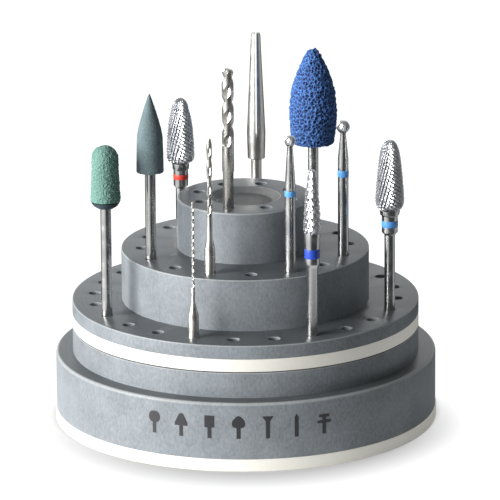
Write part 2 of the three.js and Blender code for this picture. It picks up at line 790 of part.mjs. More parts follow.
function seated({ tier, socket, make }) {
  const { x, y } = socketPlaces(tier)[socket];
  const instrument = new THREE.Group();
  instrument.add(...make());
  instrument.position.set(x, y, SOCKET_FLOORS[tier] + SEAT_GAP);
  return instrument;
}

const stand = new THREE.Group();
stand.add(...basePieces(), ...carouselPieces(), ...INSTRUMENTS.map(seated));

export default stand;
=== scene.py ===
"""Dresses a round three-tier stand for rotary dental instruments, and lights it on a pale floor.

The frame gives every place and overall size. Lengths in the classes are in millimetres, and the
modelling functions take metres.
"""

import logging
import math
from dataclasses import dataclass
from enum import Enum
from typing import Iterable, Sequence

import bpy
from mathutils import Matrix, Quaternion, Vector


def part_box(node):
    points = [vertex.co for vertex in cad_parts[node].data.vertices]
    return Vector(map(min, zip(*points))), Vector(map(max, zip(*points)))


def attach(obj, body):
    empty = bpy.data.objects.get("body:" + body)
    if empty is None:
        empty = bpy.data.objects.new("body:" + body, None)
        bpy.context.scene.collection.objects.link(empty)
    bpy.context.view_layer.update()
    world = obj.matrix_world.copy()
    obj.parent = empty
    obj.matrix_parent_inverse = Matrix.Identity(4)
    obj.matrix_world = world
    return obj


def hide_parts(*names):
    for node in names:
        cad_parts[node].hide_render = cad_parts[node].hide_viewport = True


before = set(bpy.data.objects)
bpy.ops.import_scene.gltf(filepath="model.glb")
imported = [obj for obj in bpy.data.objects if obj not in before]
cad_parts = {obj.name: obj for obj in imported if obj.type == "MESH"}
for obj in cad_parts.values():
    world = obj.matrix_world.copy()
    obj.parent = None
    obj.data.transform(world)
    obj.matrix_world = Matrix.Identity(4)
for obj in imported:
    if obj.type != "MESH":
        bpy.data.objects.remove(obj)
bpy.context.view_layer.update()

log = logging.getLogger("bur_stand")

MM = 0.001
WELD = 0.002 * MM
DISC_SIDES = 192
SHANK_SIDES = 40
HEAD_SIDES = 64
SOCKET_SIDES = 32
SMOOTH_ANGLE = math.radians(32)

Outline = Sequence[tuple[float, float]]
Axis = tuple[float, float]
Piece = bpy.types.Object
CENTRE: Axis = (0.0, 0.0)


# ---- Places in the frame ----


@dataclass(frozen=True)
class Place:
    """Where a CAD node stands, in metres.

    Attributes:
        x: the node's middle along X.
        y: the node's middle along Y.
        bottom: its lowest height.
        top: its highest height.
        radius: half its width.
    """

    x: float
    y: float
    bottom: float
    top: float
    radius: float

    @property
    def axis(self) -> Axis:
        """The upright axis through the node."""
        return self.x, self.y


def place_of(node: str) -> Place:
    """Reads a node's place from the frame.

    Args:
        node: the CAD node's name.

    Returns:
        Its place, in metres.
    """
    low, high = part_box(node)
    middle = (low + high) / 2
    return Place(middle.x, middle.y, low.z, high.z, (high.x - low.x) / 2)


# ---- Outlines ----


def softened(corners: Outline, radii: dict[int, float], steps: int = 4) -> list[tuple[float, float]]:
    """Rounds chosen corners of an outline with arcs that touch both its sides.

    Args:
        corners: the outline's points.
        radii: the radius for each corner to round, by the corner's number.
        steps: stretches per arc; one gives a plain chamfer.

    Returns:
        The outline with its arcs.
    """
    points = []
    for index, (across, height) in enumerate(corners):
        if index not in radii:
            points.append((across, height))
            continue
        corner = Vector((across, height))
        to_last = (Vector(corners[index - 1]) - corner).normalized()
        to_next = (Vector(corners[index + 1]) - corner).normalized()
        half = to_last.angle(to_next) / 2
        reach = radii[index] / math.tan(half)
        centre = corner + (to_last + to_next).normalized() * radii[index] / math.sin(half)
        start = corner + to_last * reach - centre
        end = corner + to_next * reach - centre
        for step in range(steps + 1):
            spoke = start.slerp(end, step / steps).normalized() * radii[index]
            points.append(tuple(centre + spoke))
    return points


def flowing(points: Outline, steps: int = 4) -> list[tuple[float, float]]:
    """Draws a smooth curve through an outline's points.

    Args:
        points: the points that the curve passes.
        steps: stretches between one point and the next.

    Returns:
        The curve's points.
    """
    knots = [Vector(p) for p in points]
    knots = [2 * knots[0] - knots[1], *knots, 2 * knots[-1] - knots[-2]]
    curve = []
    for before, here, there, after in zip(knots, knots[1:], knots[2:], knots[3:]):
        for step in range(steps):
            t = step / steps
            bend = (2 * before - 5 * here + 4 * there - after) * t * t
            twist = (3 * here - before - 3 * there + after) * t * t * t
            spot = (2 * here + (there - before) * t + bend + twist) / 2
            curve.append((max(spot.x, 0.0), spot.y))
    curve.append(tuple(knots[-2]))
    return curve


def in_metres(outline: Outline, floor: float) -> list[tuple[float, float]]:
    """Turns an outline in millimetres above an instrument's end into metres in the frame."""
    return [(across * MM, floor + height * MM) for across, height in outline]


# ---- Work at the bench ----


def put_down() -> None:
    """Deselects everything, so that the next operator acts on its own piece only."""
    bpy.ops.object.select_all(action="DESELECT")


def pick_up(piece: Piece) -> None:
    """Makes one piece the selected and active one."""
    put_down()
    piece.select_set(True)
    bpy.context.view_layer.objects.active = piece


def edit(piece: Piece) -> None:
    """Opens a piece in edit mode with all of it selected."""
    pick_up(piece)
    bpy.ops.object.mode_set(mode="EDIT")
    bpy.ops.mesh.select_all(action="SELECT")


def close_edit() -> None:
    """Goes back to object mode."""
    bpy.ops.object.mode_set(mode="OBJECT")


def start_point(name: str) -> Piece:
    """Starts a piece as a single vertex at the origin, open in edit mode."""
    put_down()
    bpy.ops.mesh.primitive_plane_add(size=MM)
    piece = bpy.context.active_object
    piece.name = name
    piece.data.name = name
    edit(piece)
    bpy.ops.mesh.merge(type="CENTER")
    return piece


def close_skin() -> None:
    """Welds the open piece's doubled points and turns its faces outwards."""
    bpy.ops.mesh.select_all(action="SELECT")
    bpy.ops.mesh.remove_doubles(threshold=WELD)
    bpy.ops.mesh.normals_make_consistent(inside=False)
    close_edit()


def turned(name: str, outline: Outline, axis: Axis = CENTRE, sides: int = DISC_SIDES) -> Piece:
    """Turns a piece as on a lathe: traces its outline by extrusion, then spins it round its axis.

    Args:
        name: the piece's name.
        outline: (radius, height) points in metres, from the axis up the outside and back.
        axis: where the upright axis stands.
        sides: how many steps the spin takes.

    Returns:
        The closed piece.
    """
    piece = start_point(name)
    here = Vector((0, 0, 0))
    for index, (across, height) in enumerate(outline):
        there = Vector((axis[0] + across, axis[1], height))
        if index == 0:
            bpy.ops.transform.translate(value=there - here)
        else:
            bpy.ops.mesh.extrude_vertices_move(TRANSFORM_OT_translate={"value": there - here})
        here = there
    bpy.ops.mesh.select_all(action="SELECT")
    bpy.ops.mesh.spin(steps=sides, angle=math.tau, center=(*axis, 0), axis=(0, 0, 1))
    close_skin()
    return piece


def bored(name: str, bore: float, outline: Outline, axis: Axis = CENTRE) -> Piece:
    """Turns a piece with a plain bore right through it.

    Args:
        name: the piece's name.
        bore: the bore's radius, in metres.
        outline: the outer outline, from the bottom face to the top face.
        axis: where the upright axis stands.

    Returns:
        The closed piece.
    """
    ring = [(bore, outline[0][1]), *outline, (bore, outline[-1][1]), (bore, outline[0][1])]
    return turned(name, ring, axis)


def rod(name: str, radius: float, bottom: float, top: float, axis: Axis, sides: int) -> Piece:
    """Turns a plain rod."""
    return turned(name, [(0, bottom), (radius, bottom), (radius, top), (0, top)], axis, sides)


def smooth(piece: Piece, angle: float = SMOOTH_ANGLE) -> None:
    """Shades a piece smooth, with its sharper edges left sharp."""
    pick_up(piece)
    bpy.ops.object.shade_smooth_by_angle(angle=angle)


def apply_modifier(piece: Piece, modifier: bpy.types.Modifier) -> None:
    """Applies one modifier to its piece."""
    pick_up(piece)
    bpy.ops.object.modifier_apply(modifier=modifier.name)


def carve(piece: Piece, tool: Piece, operation: str = "DIFFERENCE", keep: bool = False) -> None:
    """Cuts or joins a piece with a tool.

    Args:
        piece: what is cut.
        tool: what cuts it.
        operation: DIFFERENCE, UNION or INTERSECT.
        keep: leaves the tool for another cut.
    """
    cutting = piece.modifiers.new("cut", "BOOLEAN")
    cutting.object = tool
    cutting.operation = operation
    cutting.solver = "EXACT"
    apply_modifier(piece, cutting)
    if not keep:
        bpy.data.objects.remove(tool)


def copies_round(piece: Piece, count: int, centre: Axis = CENTRE) -> Piece:
    """Copies a piece evenly round an upright axis and joins the copies.

    Args:
        piece: the first copy, in its place.
        count: how many copies there are in all.
        centre: where the axis stands.

    Returns:
        The joined piece.
    """
    made = [piece]
    for index in range(1, count):
        pick_up(piece)
        bpy.ops.object.duplicate(linked=False)
        copy = bpy.context.active_object
        turn_piece(copy, math.tau * index / count, centre)
        made.append(copy)
    return joined(made)


def turn_piece(piece: Piece, angle: float, centre: Axis) -> None:
    """Turns a piece's mesh anticlockwise about an upright axis, seen from above."""
    edit(piece)
    bpy.ops.transform.rotate(value=-angle, orient_axis="Z", center_override=(*centre, 0))
    close_edit()


def joined(pieces: Sequence[Piece]) -> Piece:
    """Joins pieces into the first of them."""
    put_down()
    for piece in pieces:
        piece.select_set(True)
    bpy.context.view_layer.objects.active = pieces[0]
    bpy.ops.object.join()
    return pieces[0]


@dataclass(frozen=True)
class Station:
    """One layer of a twisted column.

    Attributes:
        height: the layer's height, in metres.
        scale: its radius in metres; the column's section has a radius of one metre.
        turn: how far it is turned from the first layer, in radians.
    """

    height: float
    scale: float
    turn: float


def column(name: str, section: Sequence[float], stations: Sequence[Station], axis: Axis) -> Piece:
    """Extrudes a shaped section upwards, layer by layer, scaling and turning it on the way.

    Args:
        name: the piece's name.
        section: the share of the full radius at each point round the section.
        stations: the layers, from the bottom up; a scale of 0 closes the column in a point.
        axis: where the column's axis stands.

    Returns:
        The closed piece.
    """
    put_down()
    first = stations[0]
    bpy.ops.mesh.primitive_circle_add(vertices=len(section), radius=first.scale, fill_type="NGON")
    piece = bpy.context.active_object
    piece.name = name
    piece.data.name = name
    for point in piece.data.vertices:
        point.co *= section[point.index]
    edit(piece)
    bpy.ops.transform.translate(value=(0, 0, first.height))
    for last, here in zip(stations, stations[1:]):
        rise = (0, 0, here.height - last.height)
        bpy.ops.mesh.extrude_region_move(TRANSFORM_OT_translate={"value": rise})
        if here.scale == 0:
            bpy.ops.mesh.merge(type="CENTER")
            break
        ratio = here.scale / last.scale
        centre = (0, 0, here.height)
        bpy.ops.transform.resize(value=(ratio, ratio, 1), center_override=centre)
        if here.turn != last.turn:
            bpy.ops.transform.rotate(value=last.turn - here.turn, orient_axis="Z", center_override=centre)
    bpy.ops.mesh.select_all(action="SELECT")
    bpy.ops.transform.translate(value=(*axis, 0))
    close_skin()
    return piece


# ---- Node trees ----


class Wiring:
    """Places and joins the nodes of one tree."""

    def __init__(self, tree: bpy.types.NodeTree) -> None:
        """Starts with an empty tree."""
        self.tree = tree
        tree.nodes.clear()

    def add(self, kind: str, inputs: dict | None = None, **settings: object) -> bpy.types.Node:
        """Adds a node.

        Args:
            kind: the node's type name.
            inputs: a socket to join, or a constant to set, for each named or numbered input.
            settings: properties of the node itself.

        Returns:
            The node.
        """
        node = self.tree.nodes.new(kind)
        for key, value in settings.items():
            setattr(node, key, value)
        for key, value in (inputs or {}).items():
            if isinstance(value, bpy.types.NodeSocket):
                self.tree.links.new(value, node.inputs[key])
            else:
                node.inputs[key].default_value = value
        return node

    def maths(self, operation: str, *values: object) -> bpy.types.NodeSocket:
        """Adds a Math node and gives its result."""
        return self.add("ShaderNodeMath", dict(enumerate(values)), operation=operation).outputs[0]

    def noise(self, vector: bpy.types.NodeSocket, size: float, detail: float = 2.0) -> bpy.types.NodeSocket:
        """Adds a noise pattern whose lumps are about size metres across."""
        inputs = {"Vector": vector, "Scale": 1 / size, "Detail": detail}
        return self.add("ShaderNodeTexNoise", inputs).outputs["Fac"]

    def spread(self, value: bpy.types.NodeSocket, low: float, high: float) -> bpy.types.NodeSocket:
        """Stretches the part of a value between low and high over 0 to 1."""
        inputs = {"Value": value, "From Min": low, "From Max": high}
        return self.add("ShaderNodeMapRange", inputs).outputs["Result"]

    def vector(self, operation: str, first: object, second: object = None) -> bpy.types.NodeSocket:
        """Works out one sum with vectors, such as a length, a difference or a dot product."""
        inputs = {0: first} if second is None else {0: first, 1: second}
        node = self.add("ShaderNodeVectorMath", inputs, operation=operation)
        return node.outputs["Value" if operation in ("LENGTH", "DOT_PRODUCT") else "Vector"]

    def blend(self, factor: object, low: object, high: object) -> bpy.types.NodeSocket:
        """Mixes two colours."""
        inputs = {"Factor": factor, 6: low, 7: high}
        return self.add("ShaderNodeMix", inputs, data_type="RGBA").outputs[2]


def new_group(
    name: str, inputs: Iterable[str], outputs: Iterable[str]
) -> tuple[Wiring, dict, bpy.types.Node]:
    """Starts a node group with a Vector input, value inputs and value outputs.

    Args:
        name: the group's name.
        inputs: the names of its value inputs.
        outputs: the names of its value outputs.

    Returns:
        Its wiring, its input sockets by name, and its output node.
    """
    tree = bpy.data.node_groups.new(name, "ShaderNodeTree")
    wiring = Wiring(tree)
    tree.interface.new_socket("Vector", in_out="INPUT", socket_type="NodeSocketVector")
    for socket in inputs:
        tree.interface.new_socket(socket, in_out="INPUT", socket_type="NodeSocketFloat")
    for socket in outputs:
        tree.interface.new_socket(socket, in_out="OUTPUT", socket_type="NodeSocketFloat")
    entry = wiring.add("NodeGroupInput")
    sockets = {socket.name: socket for socket in entry.outputs if socket.name}
    return wiring, sockets, wiring.add("NodeGroupOutput")


STREAK_ROUND = 0.04
STREAK_UP = 0.45


def make_lathe_grain() -> bpy.types.NodeTree:
    """Makes the grain of turned plastic: upright streaks on walls, rings on faces, and soft clouds.

    Returns:
        A group with a Size input, in metres, and the outputs Marks, Clouds, Face and Edge, from 0
        to 1; Face is where the surface is level, and Edge where it slopes.
    """
    wiring, inputs, output = new_group("lathe_grain", ["Size"], ["Marks", "Clouds", "Face", "Edge"])
    parts = wiring.add("ShaderNodeSeparateXYZ", {0: inputs["Vector"]})
    flat = wiring.add("ShaderNodeCombineXYZ", {"X": parts.outputs["X"], "Y": parts.outputs["Y"]}).outputs[0]
    radius = wiring.vector("LENGTH", flat)
    spokes = wiring.add("ShaderNodeSeparateXYZ", {0: wiring.vector("NORMALIZE", flat)})
    per_size = wiring.maths("DIVIDE", 1.0, inputs["Size"])
    wall = wiring.add("ShaderNodeCombineXYZ", {
        "X": wiring.maths("MULTIPLY", spokes.outputs["X"], STREAK_ROUND),
        "Y": wiring.maths("MULTIPLY", spokes.outputs["Y"], STREAK_ROUND),
        "Z": wiring.maths("MULTIPLY", parts.outputs["Z"], STREAK_UP),
    }).outputs[0]
    noise = wiring.add("ShaderNodeTexNoise", {"Vector": wall, "Scale": per_size, "Detail": 4.0})
    streaks = noise.outputs["Fac"]
    rings = wiring.add(
        "ShaderNodeTexNoise", {"W": radius, "Scale": per_size, "Detail": 3.0}, noise_dimensions="1D"
    ).outputs["Fac"]
    normal = wiring.add("ShaderNodeNewGeometry").outputs["True Normal"]
    upright = wiring.maths("ABSOLUTE", wiring.add("ShaderNodeSeparateXYZ", {0: normal}).outputs["Z"])
    is_face = wiring.spread(upright, 0.85, 0.99)
    not_face = wiring.maths("SUBTRACT", 1.0, is_face)
    slopes = wiring.maths("MULTIPLY", wiring.spread(upright, 0.08, 0.3), not_face)
    marks = wiring.add("ShaderNodeMix", {"Factor": is_face, 2: streaks, 3: rings}).outputs[0]
    clouds = wiring.maths(
        "ADD", wiring.maths("MULTIPLY", wiring.noise(inputs["Vector"], 6 * MM, 2.0), 0.5),
        wiring.maths("MULTIPLY", wiring.noise(inputs["Vector"], 0.7 * MM, 4.0), 0.5),
    )
    for name, value in (("Marks", marks), ("Clouds", clouds), ("Face", is_face), ("Edge", slopes)):
        wiring.tree.links.new(value, output.inputs[name])
    return wiring.tree


def make_ground_lines() -> bpy.types.NodeTree:
    """Makes the fine lines that grinding leaves round a steel shank.

    Returns:
        A group with a Size input, in metres, and the outputs Lines and Smears, from 0 to 1.
    """
    wiring, inputs, output = new_group("ground_lines", ["Size"], ["Lines", "Smears"])
    height = wiring.add("ShaderNodeSeparateXYZ", {0: inputs["Vector"]}).outputs["Z"]
    per_size = wiring.maths("DIVIDE", 1.0, inputs["Size"])
    lines = wiring.add(
        "ShaderNodeTexNoise", {"W": height, "Scale": per_size, "Detail": 3.0}, noise_dimensions="1D"
    ).outputs["Fac"]
    wiring.tree.links.new(lines, output.inputs["Lines"])
    wiring.tree.links.new(wiring.noise(inputs["Vector"], 2.5 * MM, 2.0), output.inputs["Smears"])
    return wiring.tree


def make_grit() -> bpy.types.NodeTree:
    """Makes the grit of abrasive rubber.

    Returns:
        A group with a Size input, in metres, and the outputs Grains and Patches, from 0 to 1.
    """
    wiring, inputs, output = new_group("grit", ["Size"], ["Grains", "Patches"])
    per_size = wiring.maths("DIVIDE", 1.0, inputs["Size"])
    grains = wiring.add("ShaderNodeTexVoronoi", {"Vector": inputs["Vector"], "Scale": per_size})
    fine = wiring.add("ShaderNodeTexNoise", {"Vector": inputs["Vector"], "Scale": per_size, "Detail": 3.0})
    mixed = wiring.maths("MULTIPLY", grains.outputs["Distance"], fine.outputs["Fac"])
    wiring.tree.links.new(wiring.spread(mixed, 0.08, 0.42), output.inputs["Grains"])
    wiring.tree.links.new(wiring.noise(inputs["Vector"], 2 * MM, 3.0), output.inputs["Patches"])
    return wiring.tree


# ---- Finishes ----

Colour = tuple[float, float, float]


def shade(colour: Colour, factor: float) -> tuple[float, float, float, float]:
    """Makes a colour lighter or darker, as a socket takes it."""
    return (*[min(1.0, part * factor) for part in colour], 1.0)


class Effect(Enum):
    """The shared node groups, by the name of each."""

    LATHE_GRAIN = "lathe_grain"
    GROUND_LINES = "ground_lines"
    GRIT = "grit"


def start_material(
    name: str, effect: Effect, size: float
) -> tuple[bpy.types.Material, Wiring, bpy.types.Node]:
    """Starts a material with one shared effect on object coordinates.

    Args:
        name: the material's name.
        effect: the shared effect.
        size: the effect's size, in metres.

    Returns:
        The material, its wiring and the effect's node.
    """
    material = bpy.data.materials.new(name)
    material.use_nodes = True
    wiring = Wiring(material.node_tree)
    place = wiring.add("ShaderNodeTexCoord").outputs["Object"]
    pattern = wiring.add("ShaderNodeGroup", node_tree=bpy.data.node_groups[effect.value])
    wiring.tree.links.new(place, pattern.inputs["Vector"])
    pattern.inputs["Size"].default_value = size
    return material, wiring, pattern


def close_material(wiring: Wiring, inputs: dict, height: bpy.types.NodeSocket | None, depth: float) -> None:
    """Ends a material in a Principled BSDF with a bump.

    Args:
        wiring: the material's wiring.
        inputs: the shader's inputs.
        height: the bump's height, from 0 to 1.
        depth: how deep the bump is, in metres.
    """
    if height is not None:
        inputs["Normal"] = wiring.add("ShaderNodeBump", {"Height": height, "Distance": depth}).outputs[0]
    shader = wiring.add("ShaderNodeBsdfPrincipled", inputs)
    output = wiring.add("ShaderNodeOutputMaterial")
    wiring.tree.links.new(shader.outputs[0], output.inputs["Surface"])


@dataclass(frozen=True)
class TurnedPlastic:
    """Plastic turned on a lathe, with fine tool marks and soft clouds.

    Attributes:
        name: the material's name.
        colour: the middle colour.
        contrast: how far the marks go from the middle colour.
        roughness: the middle roughness of the walls.
        face_roughness: the roughness of the smoother, level faces.
        specular: the shader's specular level.
        marks: the size of the marks, in millimetres.
        depth: the depth of the marks, in millimetres.
        face: how much of the colour is left on the level faces; the rest is painted shade that darkens the
            tops.
        edge: how far sloping edges are lightened towards a pale colour, a painted highlight on chamfers and
            rounded edges.
        glow: a painted glow, emission that lightens the plastic where the lamp does not reach.
    """

    name: str
    colour: Colour
    contrast: float = 0.12
    roughness: float = 0.4
    face_roughness: float = 0.4
    specular: float = 0.5
    marks: float = 0.45
    depth: float = 0.003
    face: float = 1.0
    edge: float = 0.0
    glow: float = 0.0

    def make(self) -> bpy.types.Material:
        """Builds the material."""
        material, wiring, grain = start_material(self.name, Effect.LATHE_GRAIN, self.marks * MM)
        marks = wiring.spread(grain.outputs["Marks"], 0.3, 0.7)
        clouds = wiring.spread(grain.outputs["Clouds"], 0.35, 0.65)
        low = shade(self.colour, 1 - self.contrast)
        high = shade(self.colour, 1 + self.contrast)
        streaked = wiring.blend(marks, low, high)
        clouded = wiring.blend(clouds, low, high)
        wall_roughness = wiring.add("ShaderNodeMapRange", {
            "Value": marks, "To Min": self.roughness - 0.06, "To Max": self.roughness + 0.08,
        }).outputs["Result"]
        roughness = wiring.add("ShaderNodeMix", {
            "Factor": grain.outputs["Face"], 2: wall_roughness, 3: self.face_roughness,
        }).outputs[0]
        grained = wiring.blend(0.5, streaked, clouded)
        # Painted shade: level faces are multiplied darker by the face share, for the dimmer tops.
        with_painted_face_shade = wiring.add("ShaderNodeMix", {
            "Factor": grain.outputs["Face"], 6: grained, 7: shade((self.face,) * 3, 1),
        }, data_type="RGBA", blend_type="MULTIPLY").outputs[2]
        # Painted highlight: sloping edges are lightened towards a pale colour.
        painted_edge_highlight = wiring.maths("MULTIPLY", grain.outputs["Edge"], self.edge)
        close_material(wiring, {
            "Base Color": wiring.blend(painted_edge_highlight, with_painted_face_shade, (0.75, 0.73, 0.68, 1.0)),
            "Roughness": roughness,
            "Specular IOR Level": self.specular,
            # Painted glow: emission that lightens the plastic where the lamp does not reach.
            "Emission Color": shade(self.colour, 1),
            "Emission Strength": self.glow,
        }, marks, self.depth * MM)
        return material


@dataclass(frozen=True)
class GroundSteel:
    """Steel or carbide with fine grinding lines.

    Attributes:
        name: the material's name.
        colour: the metal's colour.
        roughness: the middle roughness.
        lines: the size of the lines, in millimetres.
        depth: their depth, in millimetres.
        groove: how much darker the grooves are painted than their lands, a painted shade in the hollows.
    """

    name: str
    colour: Colour
    roughness: float = 0.22
    lines: float = 0.12
    depth: float = 0.0003
    groove: float = 0.0

    def make(self) -> bpy.types.Material:
        """Builds the material."""
        material, wiring, ground = start_material(self.name, Effect.GROUND_LINES, self.lines * MM)
        lines = wiring.spread(ground.outputs["Lines"], 0.3, 0.7)
        smears = wiring.spread(ground.outputs["Smears"], 0.35, 0.65)
        roughness = wiring.add("ShaderNodeMapRange", {
            "Value": smears, "To Min": self.roughness - 0.05, "To Max": self.roughness + 0.08,
        }).outputs["Result"]
        metal = wiring.blend(smears, shade(self.colour, 0.95), shade(self.colour, 1.04))
        # Painted shade: grooves, found by pointiness, are darkened.
        if self.groove:
            land = wiring.spread(wiring.add("ShaderNodeNewGeometry").outputs["Pointiness"], 0.45, 0.51)
            metal = wiring.blend(land, shade(self.colour, 1 - self.groove), metal)
        close_material(wiring, {
            "Base Color": metal,
            "Metallic": 1.0,
            "Roughness": roughness,
        }, lines, self.depth * MM)
        return material


@dataclass(frozen=True)
class AbrasiveRubber:
    """Rubber filled with abrasive grit.

    Attributes:
        name: the material's name.
        colour: the colour on the grains.
        deep: the colour between the grains, also painted into the skin's hollows as shade.
        grain: the size of the grains, in millimetres.
        depth: the depth between them, in millimetres.
        roughness: the roughness.
        pit: the pointiness of the skin that takes the deep colour, as painted shade in its hollows.
        peak: the pointiness that takes the full colour.
    """

    name: str
    colour: Colour
    deep: Colour
    grain: float = 0.3
    depth: float = 0.04
    roughness: float = 0.85
    pit: float = 0.4
    peak: float = 0.5

    def make(self) -> bpy.types.Material:
        """Builds the material."""
        material, wiring, grit = start_material(self.name, Effect.GRIT, self.grain * MM)
        grains = grit.outputs["Grains"]
        patches = wiring.spread(grit.outputs["Patches"], 0.3, 0.7)
        speckled = wiring.blend(grains, shade(self.deep, 1), shade(self.colour, 1.1))
        patched = wiring.blend(patches, shade(self.colour, 0.82), shade(self.colour, 1.12))
        # Painted shade: the skin's hollows, found by pointiness, take the deep colour.
        raised = wiring.spread(wiring.add("ShaderNodeNewGeometry").outputs["Pointiness"], self.pit, self.peak)
        close_material(wiring, {
            "Base Color": wiring.blend(raised, shade(self.deep, 1), wiring.blend(0.5, speckled, patched)),
            "Roughness": self.roughness,
        }, grains, self.depth * MM)
        return material


@dataclass(frozen=True)
class Enamel:
    """A glossy colour band, slightly uneven.

    Attributes:
        name: the material's name.
        colour: the band's colour.
        roughness: its roughness.
    """

    name: str
    colour: Colour
    roughness: float = 0.28

    def make(self) -> bpy.types.Material:
        """Builds the material."""
        material, wiring, ground = start_material(self.name, Effect.GROUND_LINES, 0.3 * MM)
        smears = wiring.spread(ground.outputs["Smears"], 0.35, 0.65)
        close_material(wiring, {
            "Base Color": wiring.blend(smears, shade(self.colour, 0.88), shade(self.colour, 1.08)),
            "Roughness": self.roughness,
        }, smears, 0.01 * MM)
        return material


FINISHES = (
    # face: painted shade on the level faces; edge: painted highlight on the sloping edges.
    TurnedPlastic(
        "grey_pvc", (0.176, 0.193, 0.206), contrast=0.27, roughness=0.38, face_roughness=0.3, specular=0.24,
        marks=0.4, face=0.4, edge=0.16,
    ),
    # A darker copy of the grey plastic for the dish, a painted shade in the recess.
    TurnedPlastic(
        "dish_pvc_painted_shade", (0.15, 0.154, 0.152), contrast=0.3, roughness=0.5, face_roughness=0.45, specular=0.16,
        face=0.5,
    ),
    # glow: a painted glow, which lightens the white plastic where it is in shade.
    TurnedPlastic(
        "white_plastic", (0.57, 0.555, 0.505), contrast=0.03, roughness=0.42, face_roughness=0.42, glow=0.26,
    ),
    TurnedPlastic("washer_plastic", (0.75, 0.74, 0.7), contrast=0.04, roughness=0.5, face_roughness=0.5),
    GroundSteel("shank_steel", (0.5, 0.5, 0.49), roughness=0.2),
    GroundSteel("mandrel_steel", (0.66, 0.65, 0.61), roughness=0.34),
    GroundSteel("drill_steel", (0.62, 0.6, 0.56), roughness=0.3),
    # groove: painted shade in the carbide's flutes and grooves.
    GroundSteel("carbide", (0.66, 0.67, 0.69), roughness=0.3, groove=0.8),
    GroundSteel("fastener_steel", (0.56, 0.57, 0.58), roughness=0.3),
    GroundSteel("bush_brass", (0.62, 0.45, 0.2), roughness=0.3),
    AbrasiveRubber("green_rubber", (0.14, 0.265, 0.225), (0.04, 0.11, 0.09), grain=0.35, peak=0.52),
    AbrasiveRubber("grey_rubber", (0.12, 0.168, 0.178), (0.04, 0.06, 0.068), grain=0.3, depth=0.02),
    AbrasiveRubber(
        "blue_porous_rubber", (0.066, 0.19, 0.49), (0.003, 0.012, 0.075), grain=0.5, pit=0.46, peak=0.525,
    ),
    Enamel("glue_cap", (0.02, 0.035, 0.05), roughness=0.4),
    Enamel("red_band", (0.62, 0.05, 0.03)),
    Enamel("blue_band", (0.09, 0.3, 0.66)),
    Enamel("dark_blue_band", (0.02, 0.06, 0.4)),
    Enamel("print_ink", (0.018, 0.017, 0.02), roughness=0.45),
)


def make_finishes() -> dict[str, bpy.types.Material]:
    """Builds the shared effects and every material.

    Returns:
        The materials by name.
    """
    make_lathe_grain()
    make_ground_lines()
    make_grit()
    return {finish.name: finish.make() for finish in FINISHES}


def fit(piece: Piece, body: str, nodes: Sequence[str], material: bpy.types.Material) -> None:
    """Puts a finished piece in the assembly.

    Args:
        piece: the piece.
        body: the body that it moves with.
        nodes: the CAD nodes that it stands for.
        material: its material, which becomes its first unless it has some already.
    """
    if not piece.data.materials:
        piece.data.materials.append(material)
    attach(piece, body)
    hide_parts(*nodes)
    log.info("%s: %d faces, on %s", piece.name, len(piece.data.polygons), body)


# ---- The sockets ----

SEAT_GAP = 0.05
SOCKET_RADIUS = 1.3
MOUTH_CHAMFER = 0.1
CUT_PAST = 1.0


@dataclass(frozen=True)
class SocketRing:
    """A ring of sockets in one tier.

    Attributes:
        tier: the CAD node of the tier.
        sample: the CAD node of a shank that stands in one of the sockets.
        count: how many sockets the ring has.
    """

    tier: str
    sample: str
    count: int

    def tool(self) -> Piece:
        """Makes the cutters for every socket in the ring as one piece."""
        shank = place_of(self.sample)
        floor = shank.bottom - SEAT_GAP * MM
        mouth = place_of(self.tier).top
        radius = SOCKET_RADIUS * MM
        wide = radius + MOUTH_CHAMFER * MM
        past = CUT_PAST * MM
        outline = [
            (0, floor), (radius, floor), (radius, mouth - MOUTH_CHAMFER * MM), (wide, mouth),
            (wide, mouth + past), (0, mouth + past),
        ]
        cutter = turned(f"{self.tier}_cutter", outline, shank.axis, SOCKET_SIDES)
        return copies_round(cutter, self.count)


def bore_tool(nodes: Sequence[str], radius: float, bottom: float, top: float) -> Piece:
    """Makes plain bores of a radius, in metres, round the axes of the given CAD nodes."""
    return joined([rod("bore", radius, bottom, top, place_of(node).axis, SOCKET_SIDES) for node in nodes])


# ---- The base ----

STEM = ((0.0, 0.0), (0.45, 0.0), (0.45, 2.4))
PICTOGRAMS = (
    (*STEM, (0.9, 2.55), (1.3, 3.1), (1.4, 3.7), (1.25, 4.3), (0.8, 4.85), (0.0, 5.0)),
    (*STEM, (1.5, 2.4), (1.4, 3.2), (0.5, 5.0), (0.0, 5.2)),
    (*STEM, (1.1, 2.4), (1.1, 5.1), (0.0, 5.1)),
    (*STEM, (1.2, 2.6), (1.5, 3.3), (1.3, 4.1), (0.6, 4.9), (0.0, 5.2)),
    (*STEM, (0.5, 3.9), (1.3, 5.0), (0.0, 5.0)),
    (*STEM, (0.45, 4.5), (0.0, 5.2)),
    (*STEM, (1.6, 2.5), (1.6, 3.1), (0.45, 3.2), (0.45, 3.7), (1.2, 3.8), (1.2, 4.4), (0.0, 4.5)),
)


